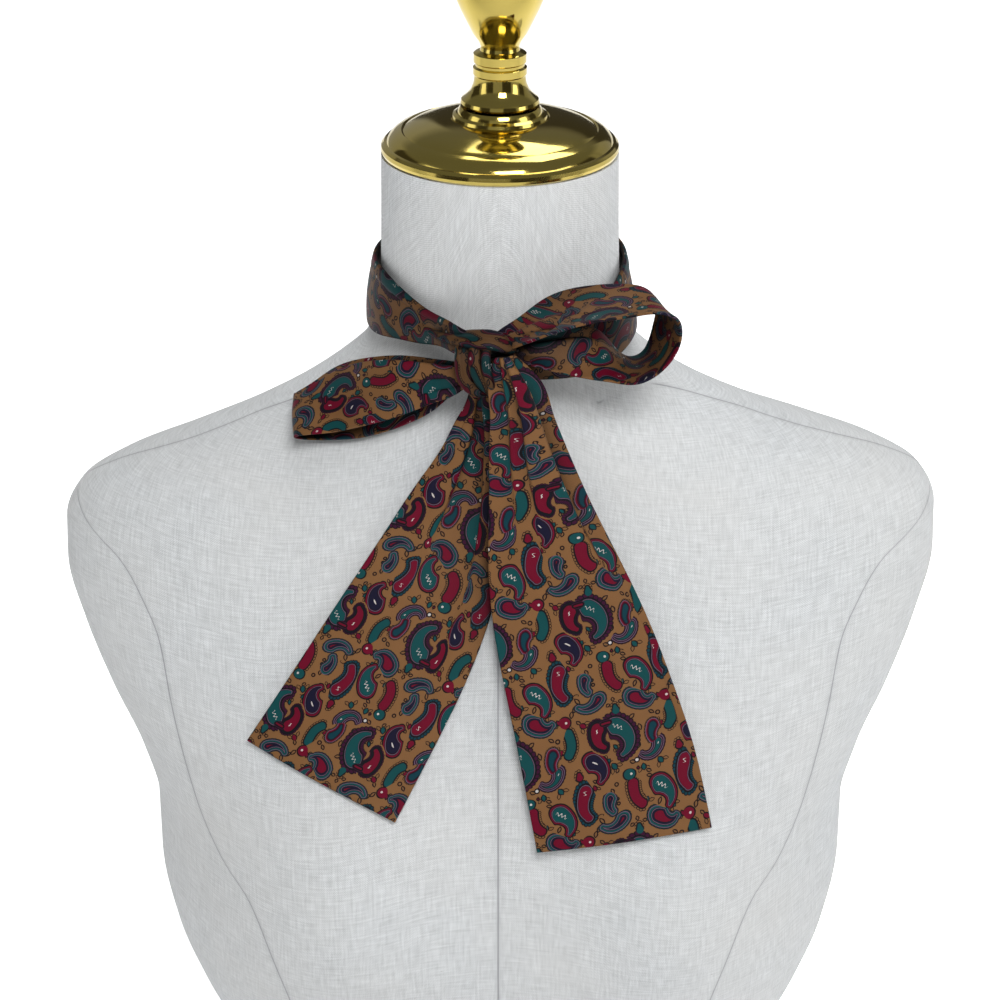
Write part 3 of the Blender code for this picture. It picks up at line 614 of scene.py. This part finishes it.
def paisley_group():
    """A node group: the print's colour at a place on the cloth, given in millimetres."""
    tree = bpy.data.node_groups.new("paisley_print", "ShaderNodeTree")
    for name, way, kind in (
        ("Cloth", "INPUT", "Vector"), ("Ground", "INPUT", "Color"), ("Color", "OUTPUT", "Color")):
        tree.interface.new_socket(name, in_out=way, socket_type="NodeSocket" + kind)
    net = Net(tree)
    cloth, ground = tree.nodes.new("NodeGroupInput").outputs[:2]
    _, local, curve, taper = nearest_frame(net, cloth, motif_frames())
    out, contour, from_head, bent = motif_depth(net, local, curve, taper)
    style = net.split(taper)[2]
    *colours, firsts, seconds, bead_widths, marks = zip(*STYLES.values())
    rim, ring, core, line, bead = (net.pick(style, column) for column in colours)
    first, second, beads = net.split(net.pick(style, [
        (a / DEEPEST_RING, b / DEEPEST_RING, c / WIDEST_BEAD)
        for a, b, c in zip(firsts, seconds, bead_widths)]))
    first, second, beads = first * -DEEPEST_RING, second * -DEEPEST_RING, beads * WIDEST_BEAD
    mark_x, mark_y, wave = net.split(net.pick(style, [
        tuple(part / WIDEST_BEAD for part in mark) for mark in marks]))

    colour = sprig_layer(net, cloth, ground)
    # Beads along the edge, each as long as the band is wide but for the widest bands.
    pitch = net.madd(beads, *BEAD_PITCH)
    bead_x = (net.math("FRACT", contour / pitch) - 0.5) * pitch
    squeeze = pitch / net.math("MAXIMUM", beads, 0.5)
    bead_y = net.madd(beads, -0.5, out) * squeeze
    bead_out = net.madd(pitch, -0.5, net.reach(bead_x, bead_y))
    some = net.math("GREATER_THAN", beads, LEAST)
    colour = net.mix(net.below(bead_out, RIM_DEPTH) * some, colour, INK)
    colour = net.mix(net.below(bead_out, -BEAD_RIM) * some, colour, bead)
    # The motif itself, from its outline inward.
    edges = [LILAC if name in LINED_STYLES else INK for name in STYLES]
    for limit, filling in (
        (OUTLINE, INK), (EDGE_LINE, net.pick(style, edges)), (-RIM_DEPTH, rim),
        (first + RING_INK, INK), (first, line), (first - RING_INK, INK), (first - RING_LINE, ring),
        (second + THIN_INK, INK), (second, core),
    ):
        colour = net.mix(net.below(out, limit), colour, filling)
    # The white mark near the head.
    side = net.math("SINE", from_head * MARK_WAVES) * wave * MARK_SWING
    mark = net.reach((from_head - MARK_START) / mark_x, (bent - side) / mark_y)
    marked = net.math("GREATER_THAN", mark_x, MARK_LEAST)
    shown = net.math("LESS_THAN", mark, WIDEST_BEAD) * marked
    colour = net.mix(shown, colour, PALE)
    net.feed(tree.nodes.new("NodeGroupOutput").inputs[0], colour)
    return tree


# ---------- materials
def new_material(name, plain_values):
    """A material, its node tree, and its shader with these values set on its own sockets."""
    made = bpy.data.materials.new(name)
    made.use_nodes = True
    made.node_tree.nodes.clear()
    net = Net(made.node_tree)
    shader = net.add("BsdfPrincipled", plain_values)
    net.feed(net.add("OutputMaterial").inputs["Surface"], shader.outputs[0])
    return made, net, shader.inputs


def cloth_material():
    """Printed twill with a soft sheen. The UV map holds millimetres on the cloth."""
    made, net, shader = new_material("printed_cloth", {
        "Roughness": 0.52, "Specular IOR Level": 0.1, "Sheen Weight": 0.01,
        "Sheen Roughness": 0.4})
    cloth = net.add("UVMap", uv_map="UVMap").outputs[0]
    cloth = net.vector("DIVIDE", cloth, (*PRINT_STRETCH, 1.0))
    fuzz, fuzz_way = net.noise(cloth, 1.3, 3)
    worn, _ = net.noise(cloth, 0.09, 2)
    bleed = net.vector("MULTIPLY_ADD", fuzz_way, INK_BLEED, cloth)
    ground = net.mix(worn, TAN, WORN_TAN)
    printed = net.add("Group", {0: bleed, 1: ground}, node_tree=paisley_group())
    u, v, _ = net.split(cloth)
    twill = net.math("SINE", (u + v) * (2 * math.pi / TWILL_PITCH))
    cross = net.math("SINE", (u - v) * (math.pi / TWILL_PITCH))
    rough = net.madd(fuzz, 1.2, net.madd(cross, 0.4, twill))
    shade = net.ramp(rough, -1.4, 2.4, *TWILL_SHADES)
    # Painted shade: the colour is darkened in creases, which hold less light than the bare sum of
    # the folds gives.
    hollow = net.add("AmbientOcclusion", {"Distance": CREASE_REACH}, samples=4)
    painted_crease_shade = net.ramp(hollow.outputs["AO"], CREASE_FROM, 1.0, CREASE_SHADE, 1.0)
    # Painted shade on the knot, band and loops, read from each piece's attribute.
    painted_shade = net.add("Attribute", attribute_name="painted_piece_shade").outputs["Fac"]
    colour = printed.outputs[0]
    for part in (shade, painted_crease_shade, painted_shade):
        colour = net.mix(1.0, colour, part, blend="MULTIPLY")
    net.feed(shader["Base Color"], colour)
    net.bump(shader, rough, 0.25, 0.00005)
    return made


def linen_material():
    """Close, pale blue-grey linen: plain weave with slubs, specks of lint and soft shading."""
    made, net, shader = new_material("linen_cover", {
        "Roughness": 0.85, "Specular IOR Level": 0.2, "Sheen Weight": 0.1})
    cloth = net.add("UVMap", uv_map="UVMap").outputs[0]
    u, v, _ = net.split(cloth)
    slub_u, slub_v = (
        net.noise(net.vector("MULTIPLY", cloth, (*size, 1.0)), 1, 2)[0]
        for size in (SLUB_SIZE, SLUB_SIZE[::-1]))
    warp, weft = (
        net.math("SINE", net.madd(slub, WEAVE_WANDER, place * (2 * math.pi / THREAD_PITCH)))
        for slub, place in ((slub_v, u), (slub_u, v)))
    height = net.madd(slub_u + slub_v, SLUB_HEIGHT, warp * weft * WEAVE_HEIGHT)
    colour = net.mix(net.ramp(height, *LINEN_HEIGHTS), LINEN_LOW, LINEN_HIGH)
    cloud, _ = net.noise(cloth, 0.012, 3)
    colour = net.mix(net.ramp(cloud, 0.35, 0.7, 0.0, 0.35), colour, LINEN_CLOUD)
    off, past = (
        net.split(net.add("Attribute", attribute_name=name).outputs["Vector"])
        for name in ("seam_off", "seam_past"))
    nearest = FARTHEST
    for beside, beyond in zip(off, past):
        nearest = net.math("MINIMUM", net.reach(beside, beyond), nearest)
    colour = net.mix(net.ramp(nearest, 0.12, 0.55, 0.75, 0.0), colour, SEAM_LINE)
    colour = net.mix(net.ramp(nearest, 0.4, 2.6, 0.22, 0.0), colour, SEAM_SHADE)
    height = height + net.ramp(nearest, 0.0, 2.2) * SEAM_DEPTH
    lint, _ = net.noise(cloth, 0.42, 4)
    colour = net.mix(net.ramp(lint, 0.74, 0.79, 0.0, 0.8), colour, LINT)
    net.feed(shader["Base Color"], colour)
    net.bump(shader, height, 0.3, 0.0001)
    return made


def brass_material():
    made, net, shader = new_material("polished_brass", {"Metallic": 1.0})
    wear, _ = net.noise(net.object_place(), 60, 6)
    net.feed(shader["Base Color"], net.mix(wear, BRASS, WORN_BRASS))
    net.feed(shader["Roughness"], net.ramp(wear, 0.3, 0.75, 0.06, 0.16))
    return made


def board_material():
    made, net, shader = new_material("base_board", {"Roughness": 0.7})
    grain, _ = net.noise(net.vector("MULTIPLY", net.object_place(), BOARD_GRAIN), 1, 5)
    net.feed(shader["Base Color"], net.mix(grain, BOARD_LOW, BOARD_HIGH))
    net.bump(shader, grain, 0.2, 0.0002)
    return made


# ---------- curves through a table's rows
def level_curve(x, y, at):
    """A curve through (x, y) that never overshoots them."""
    step = np.diff(x)
    rise = np.diff(y) / step
    slope = np.zeros(len(x))
    slope[0], slope[-1] = rise[0], rise[-1]
    for i in range(1, len(x) - 1):
        if rise[i - 1] * rise[i] > 0:
            before = 2 * step[i] + step[i - 1]
            after = step[i] + 2 * step[i - 1]
            slope[i] = (before + after) / (before / rise[i - 1] + after / rise[i])
    k = np.clip(np.searchsorted(x, at, side="right") - 1, 0, len(step) - 1)
    t = (at - x[k]) / step[k]
    return (
        (2 * t**3 - 3 * t**2 + 1) * y[k]
        + (t**3 - 2 * t**2 + t) * step[k] * slope[k]
        + (3 * t**2 - 2 * t**3) * y[k + 1]
        + (t**3 - t**2) * step[k] * slope[k + 1]
    )


def held_curve(rows, at):
    """A curve through the rows that keeps its end values past them."""
    x, y = np.array(rows, float).T
    return level_curve(x, y, np.clip(at, x[0], x[-1]))


def flowing_curve(along, values, at):
    """A natural cubic spline through the rows of values."""
    step = np.diff(along)
    count = len(along)
    left = np.eye(count)
    right = np.zeros((count, values.shape[1]))
    for i in range(1, count - 1):
        left[i, i - 1 : i + 2] = step[i - 1], 2 * (step[i - 1] + step[i]), step[i]
        change = np.diff(values[i - 1 : i + 2], axis=0) / step[i - 1 : i + 1, None]
        right[i] = 6 * (change[1] - change[0])
    bend = np.linalg.solve(left, right)
    k = np.clip(np.searchsorted(along, at, side="right") - 1, 0, count - 2)
    h = step[k][:, None]
    b = ((at - along[k]) / step[k])[:, None]
    a = 1 - b
    return (
        a * values[k]
        + b * values[k + 1]
        + ((a**3 - a) * bend[k] + (b**3 - b) * bend[k + 1]) * h**2 / 6
    )


# ---------- meshes
def add_object(name, data):
    obj = bpy.data.objects.new(name, data)
    bpy.context.scene.collection.objects.link(obj)
    return obj


def add_piece(name, points_mm, faces, uvs, finish, node, sharp_angle=NEVER_SHARP):
    """A mesh that rides on the root body. uvs holds one (u, v) for each corner of each face."""
    mesh = bpy.data.meshes.new(name)
    mesh.from_pydata((np.asarray(points_mm) * MM).tolist(), [], faces)
    mesh.update()
    layer = mesh.uv_layers.new(name="UVMap")
    layer.data.foreach_set("uv", np.asarray(uvs, np.float32).ravel())
    mesh.shade_smooth()
    if sharp_angle < NEVER_SHARP:
        mesh.set_sharp_from_angle(angle=math.radians(sharp_angle))
    mesh.materials.append(finish)
    piece = add_object(name, mesh)
    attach(piece, ROOT)
    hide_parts(node)
    return piece


def add_cloth(name, points_mm, faces, uvs, finish, node, sharp_angle=NEVER_SHARP):
    piece = add_piece(name, points_mm, faces, uvs, finish, node, sharp_angle)
    # Each cloth piece carries its painted shade as an attribute.
    layer = piece.data.attributes.new("painted_piece_shade", "FLOAT", "POINT")
    shade = PAINTED_PIECE_SHADE.get(name, 1.0)
    layer.data.foreach_set("value", np.full(len(points_mm), shade, np.float32))
    return piece


def tube_faces(rows, cols):
    """Quads round a grid of points, and each corner's (row, column) for its UV."""
    faces, corners = [], []
    for i in range(rows - 1):
        for j in range(cols):
            k = (j + 1) % cols
            faces.append((i * cols + j, i * cols + k, (i + 1) * cols + k, (i + 1) * cols + j))
            corners.append(((i, j), (i, j + 1), (i + 1, j + 1), (i + 1, j)))
    return faces, corners


def end_faces(rows, cols, start=0):
    last = start + (rows - 1) * cols
    return [range(start, start + cols)[::-1], range(last, last + cols)]


def corner_uvs(uv, corners):
    return np.array([uv[i, j] for corner in corners for i, j in corner])


def run_along(points, axis=0):
    """How far along the line through the points each of them is."""
    steps = np.linalg.norm(np.diff(points, axis=axis), axis=-1)
    return np.insert(np.cumsum(steps, axis), 0, 0, axis)


def spread_over(values, count):
    """count numbers that run evenly through the rows of values."""
    rows = np.arange(len(values))
    return np.interp(np.linspace(0, rows[-1], count), rows, values)


def unit(vectors):
    lengths = np.linalg.norm(vectors, axis=-1, keepdims=True)
    return vectors / np.maximum(lengths, SHORTEST)


# ---------- the form
def form_ring(height, angles):
    """A level section of the form. Angle 0 is +X and the front is 270 degrees."""
    heights, *sizes = np.array(SECTIONS, float).T
    at = np.array([height])
    width, front, back, square, middle = (level_curve(heights, size, at)[0] for size in sizes)
    cosine, sine = np.cos(angles), np.sin(angles)
    reach = np.where(sine < 0, front, back)
    x = width * np.sign(cosine) * np.abs(cosine) ** (2 / square)
    y = reach * np.sign(sine) * np.abs(sine) ** (2 / square) + middle
    for side in (-1, 1):
        away = ((x - side * BUST_X) / BUST_REACH_X) ** 2 + ((height - BUST_Z) / BUST_REACH_Z) ** 2
        y = y - BUST_DEPTH * np.exp(-away) * np.clip(-BUST_SIDE_FADE * sine, 0, 1)
    z = height + SHOULDER_LEAN * x * np.interp(height, LEAN_HEIGHTS, (0, 1, 1, 0))
    return np.stack([x, y, z], axis=-1)


def make_form(linen):
    angles = np.arange(FORM_SIDES + 1) * 2 * math.pi / FORM_SIDES + math.pi / 2
    heights = spread_over([row[0] for row in SECTIONS], FORM_RINGS)
    rings = np.array([form_ring(height, angles) for height in heights])
    around = run_along(rings, 1)
    uv = np.stack([around - around[:, FORM_SIDES // 2, None], run_along(rings)], axis=-1)
    faces, corners = tube_faces(FORM_RINGS, FORM_SIDES)
    uvs = corner_uvs(uv, corners)
    faces += end_faces(FORM_RINGS, FORM_SIDES)
    flat = rings[:, :FORM_SIDES].reshape(-1, 3)
    uvs = np.concatenate([uvs, flat[:FORM_SIDES][::-1, :2], flat[-FORM_SIDES:, :2]])
    form = add_piece("linen_form", flat, faces, uvs, linen, "form_body", FORM_EDGE)
    for name, values in zip(("seam_off", "seam_past"), seam_distances(flat)):
        layer = form.data.attributes.new(name, "FLOAT_VECTOR", "POINT")
        layer.data.foreach_set("vector", values.astype(np.float32).ravel())


def seam_distances(points):
    """How far each point is beside the side, middle and shoulder seams, and past their ends."""
    x, y, z = points.T
    away = np.abs(x)
    line = held_curve(SIDE_SEAM, z)
    line = np.where(y < FRONT_WAIST_Y, line, line * BACK_SEAM_SHARE)
    side = SIDE_SEAM_SLANT * (away - line)
    shoulder = y - held_curve(SHOULDER_SEAM, away)
    rise = z - SHOULDER_SEAM_LOW
    past = np.maximum([rise, z - SEAM_TOP, -rise], 0)
    past[2] += np.maximum(z - SHOULDER_SEAM_TOP, 0) + np.maximum(SHOULDER_SEAM_START - away, 0)
    return np.array([side, x - MIDDLE_SEAM_X, shoulder]).T, past.T


# ---------- turned brass
def make_turned(name, profile, finish, node):
    """Turns a profile that starts and ends on the axis, with a flat face at each end."""
    angles = np.arange(TURNED_SIDES) * 2 * math.pi / TURNED_SIDES
    points = [
        (radius * np.cos(angle), NECK_TOP_Y + radius * np.sin(angle), RIM_HEIGHT + height)
        for radius, height in profile[1:-1] for angle in angles]
    rows = len(profile) - 2
    faces, corners = tube_faces(rows, TURNED_SIDES)
    uvs = [(j / TURNED_SIDES, i / rows) for corner in corners for i, j in corner]
    faces += end_faces(rows, TURNED_SIDES)
    uvs += [(0.0, 0.0)] * (2 * TURNED_SIDES)
    add_piece(name, points, faces, uvs, finish, node, TURNED_EDGE)


# ---------- cloth strips
def fold_offsets(folds, along, across, widths):
    """How far the folds move the cloth across the strip, as a share, and off it, in mm."""
    room = np.clip(widths / FULL_FOLD_WIDTH, 0, 1) ** 2
    sideways = np.zeros_like(across)
    outward = np.zeros_like(across)
    for start, end, half, lap, drop, ridge, peak, reach in folds:
        line = (start + (end - start) * along)[:, None]
        strength = (room * np.exp(-(((along - peak) / reach) ** 2)))[:, None]
        q = (across - line) / half
        hump = np.exp(-(q**2))
        sideways -= strength * lap * half * q * hump
        step = 0.5 * (1 - np.tanh(STEP_SHARPNESS * q)) - (1 - across)
        outward += strength * (drop * step + ridge * hump)
    held = np.sin(math.pi * np.clip(across, 0, 1)) ** EDGE_HOLD
    return sideways * held, outward * held


def surface_normals(points):
    return unit(np.cross(*np.gradient(points, axis=(0, 1))))


def strip_shell(rows, folds, half_wall, steps, cloth_width):
    """A pressed tube of cloth: a closed shell with rounded edges and ends, and its UVs in mm."""
    edges = np.array(rows, float)
    middles = (edges[:, :3] + edges[:, 3:6]) / 2
    run = run_along(middles)
    reached = spread_over(run, steps[0] + 1)
    turns = np.linspace(0, math.pi / 2, EDGE_TURNS + 1)
    inset, rise = 1 - np.cos(turns), np.sin(turns)
    cap = half_wall * inset
    inside = reached[(reached > half_wall * 1.5) & (reached < run[-1] - half_wall * 1.5)]
    reached = np.concatenate([cap, inside, run[-1] - cap[::-1]])
    full = np.maximum(rise, END_FULLNESS)
    fullness = np.concatenate([full, np.ones(len(inside)), full[::-1]])
    curve = flowing_curve(run, edges, reached)
    widths = np.linalg.norm(curve[:, 3:6] - curve[:, :3], axis=1)
    edge_a, edge_b, belly = curve[:, None, :3], curve[:, None, 3:6], curve[:, 6:]
    corner = (half_wall / widths)[:, None]
    even = np.linspace(0, 1, steps[1] + 1)[None, 1:-1]
    across = np.concatenate([
        corner * inset, corner + (1 - 2 * corner) * even, 1 - corner * inset[::-1]], axis=1)
    lift = np.concatenate([rise, np.ones(even.shape[1]), rise[::-1]])[None]
    sideways, outward = fold_offsets(folds, reached / run[-1], across, widths)
    level = surface_normals(edge_a + (edge_b - edge_a) * across[..., None])
    points = edge_a + (edge_b - edge_a) * (across + sideways)[..., None]
    points = points + level * (outward + belly * np.sin(math.pi * across))[..., None]
    normals = surface_normals(points)
    offset = normals * (half_wall * lift * fullness[:, None])[..., None]
    front, back = points + offset, points - offset
    loop = np.concatenate([front, back[:, -2:0:-1]], axis=1)
    across_mm = across * widths[:, None]
    if cloth_width:
        across_mm = across_mm + hidden_cloth(folds, reached / run[-1], across, widths, cloth_width)
        across_mm = across_mm + TURNED_UNDER * (cloth_width - widths[:, None])
    full = across_mm[:, -1:]
    u = np.concatenate([across_mm, 2 * full - across_mm[:, -2::-1]], axis=1)
    v = np.repeat(reached[:, None], u.shape[1], axis=1)
    return loop, np.stack([u, v], axis=-1)


def hidden_cloth(folds, along, across, widths, cloth_width):
    """Cloth that the folds take up, which moves the print on past each."""
    spare = np.maximum(cloth_width - widths, 0)
    lapped = [fold for fold in folds if fold[3] > 1]
    strengths = np.exp([-(((along - peak) / reach) ** 2) for *_, peak, reach in lapped])
    shares = strengths / np.maximum(strengths.sum(axis=0), 1)
    taken = np.zeros_like(across)
    for (start, end, half, *_), share in zip(lapped, shares):
        line = (start + (end - start) * along)[:, None]
        passed = 0.5 + 0.5 * np.tanh((across - line) / (half * HIDDEN_EDGE))
        taken += (spare * share)[:, None] * passed * HIDDEN_SHARE
    return taken


def make_strip(name, finish):
    node, *cloth, (way, shift_across, shift_along, lean, spread) = STRANDS[name]
    loop, uv = strip_shell(*cloth)
    stations, around = loop.shape[:2]
    faces, corners = tube_faces(stations, around)
    front = around // 2
    for row, step in ((0, -1), (stations - 1, 1)):
        for j in range(front):
            behind = (around - j) % around
            quad = ((row, j), (row, j + 1), (row, around - j - 1), (row, behind))[::step]
            faces.append([i * around + k for i, k in quad])
            corners.append(quad)
    uv = way * uv * (spread, 1.0) + (shift_across, shift_along)
    uv[..., 1] += lean * uv[..., 0]
    return add_cloth(name, loop.reshape(-1, 3), faces, corner_uvs(uv, corners), finish, node)


def roll_shell(rows):
    """A roll of cloth along a path, its flat side to the knot's core, and its UVs in mm."""
    rows = np.array(rows, float)
    run = run_along(rows[:, :3])
    along, around = ROLL_STEPS
    reached = np.linspace(0, run[-1], along + 1)
    curve = flowing_curve(run, rows, reached)
    middle, half_width, half_depth = curve[:, :3], curve[:, 3], curve[:, 4]
    taper = np.sin(np.clip(np.arange(along + 1) / ROLL_END_STEPS, 0, 1) * math.pi / 2)
    taper = np.maximum(taper * taper[::-1], ROLL_END)
    away = (middle - (0, *KNOT_CORE)) * (0, 1, 1)
    ahead = np.gradient(middle, axis=0)
    side = unit(np.cross(ahead, away))
    out = unit(np.cross(side, ahead))
    turn = np.linspace(0, 2 * math.pi, around + 1)
    bulge = np.sign(np.sin(turn)) * np.abs(np.sin(turn)) ** ROLL_ROUNDING
    depth, waves, drift = ROLL_WRINKLE
    wrinkle = 1 + depth * np.sin(waves * turn[None] + reached[:, None] * drift)
    for place, depth, drift in ROLL_GROOVES:
        line = place + drift * np.sin(reached / run[-1] * math.pi)
        wrinkle = wrinkle - depth * np.exp(-(((turn[None] - line[:, None]) / GROOVE_WIDTH) ** 2))
    points = middle[:, None] + side[:, None] * (
        half_width * taper)[:, None, None] * np.cos(turn)[None, :, None]
    lift = (half_depth * taper)[:, None] * bulge[None] * wrinkle
    points = points + out[:, None] * lift[..., None]
    u = half_width.mean() * ROLL_SPREAD * np.where(turn < math.pi, turn, 2 * math.pi - turn)
    u, v = np.broadcast_arrays(u[None], reached[:, None])
    return points[:, :-1], np.stack([u, v], axis=-1)


def make_knot(finish):
    """Rolls of cloth wrapped once round the strands, and one that crosses over their top."""
    points, faces, uvs = [], [], []
    for k, rows in enumerate(KNOT_ROLLS):
        shell, uv = roll_shell(rows)
        stations, around = shell.shape[:2]
        start = sum(len(p) for p in points)
        made, corners = tube_faces(stations, around)
        faces += [[start + i for i in face] for face in made]
        faces += end_faces(stations, around, start)
        uv = uv + np.array(ROLL_SHIFTS[k])
        uvs += list(corner_uvs(uv, corners))
        uvs += [uv[0, 0]] * (2 * around)
        points.append(shell.reshape(-1, 3))
    return add_cloth("knot_wrap", np.concatenate(points), faces, uvs, finish, "knot", ROLL_EDGE)


def make_scarf():
    cloth = cloth_material()
    band, left_loop, right_loop, left, right = (make_strip(name, cloth) for name in STRANDS)
    wrap = make_knot(cloth)


# ---------- floor, camera and lights
def make_camera():
    lens = bpy.data.cameras.new("camera")
    lens.lens = CAMERA_LENS
    camera = add_object("camera", lens)
    camera.location = CAMERA_PLACE
    camera.rotation_euler = (math.radians(CAMERA_TILT), 0.0, 0.0)
    bpy.context.scene.camera = camera


def make_lights():
    for name, place, target, width, height, watts in LIGHTS:
        lamp = bpy.data.lights.new(name, "AREA")
        lamp.shape = "RECTANGLE"
        lamp.size, lamp.size_y, lamp.energy = width, height, watts
        stand = add_object(name, lamp)
        stand.location = place
        way = Vector(target) - stand.location
        stand.rotation_euler = way.to_track_quat("-Z", "Y").to_euler()
    world = bpy.data.worlds.new("studio")
    world.use_nodes = True
    background = world.node_tree.nodes["Background"]
    net = Net(world.node_tree)
    x, y, z = net.split(net.add("TexCoord").outputs["Generated"])
    bearing = net.math("ARCTAN2", x, y)
    wide, narrow = (
        net.math("SINE", net.madd(bearing, *bays)) for bays in (WIDE_BAYS, NARROW_BAYS))
    dark = net.ramp(net.madd(narrow, NARROW_SHARE, wide), -BAY_EDGE, BAY_EDGE)
    low = net.ramp(z, *BAY_HEIGHTS, 1.0, 0.0)
    pale = net.mix(low, SKY_HIGH, SKY_PALE)
    net.feed(background.inputs["Color"], net.mix(dark * low, pale, SKY_DARK))
    background.inputs["Strength"].default_value = SKY_STRENGTH
    bpy.context.scene.world = world
    bpy.context.scene.view_settings.view_transform = "Standard"


def make_floor():
    made, net, shader = new_material("floor", {
        "Base Color": FLOOR_COLOUR, "Roughness": 0.9, "Emission Color": FLOOR_COLOUR})
    place = net.object_place()
    behind = net.ramp(net.split(place)[1], *GLOW_DEPTHS, *FLOOR_GLOW)
    beyond = net.ramp(net.length(place), *GLOW_DISTANCES, *FLOOR_GLOW)
    net.feed(shader["Emission Strength"], net.math("MAXIMUM", behind, beyond))
    mesh = bpy.data.meshes.new("floor")
    r = FLOOR_REACH
    mesh.from_pydata([(-r, -r, 0), (r, -r, 0), (r, r, 0), (-r, r, 0)], [], [(0, 1, 2, 3)])
    mesh.materials.append(made)
    add_object("floor", mesh)


def main():
    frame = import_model()
    make_camera()
    make_lights()
    make_floor()
    make_form(linen_material())
    brass = brass_material()
    make_turned("brass_cap", CAP_PROFILE, brass, "neck_cap")
    make_turned("brass_finial", FINIAL_PROFILE, brass, "finial")
    board = frame["nodes"]["base_plate"].data.materials
    board.clear()
    board.append(board_material())
    make_scarf()


main()
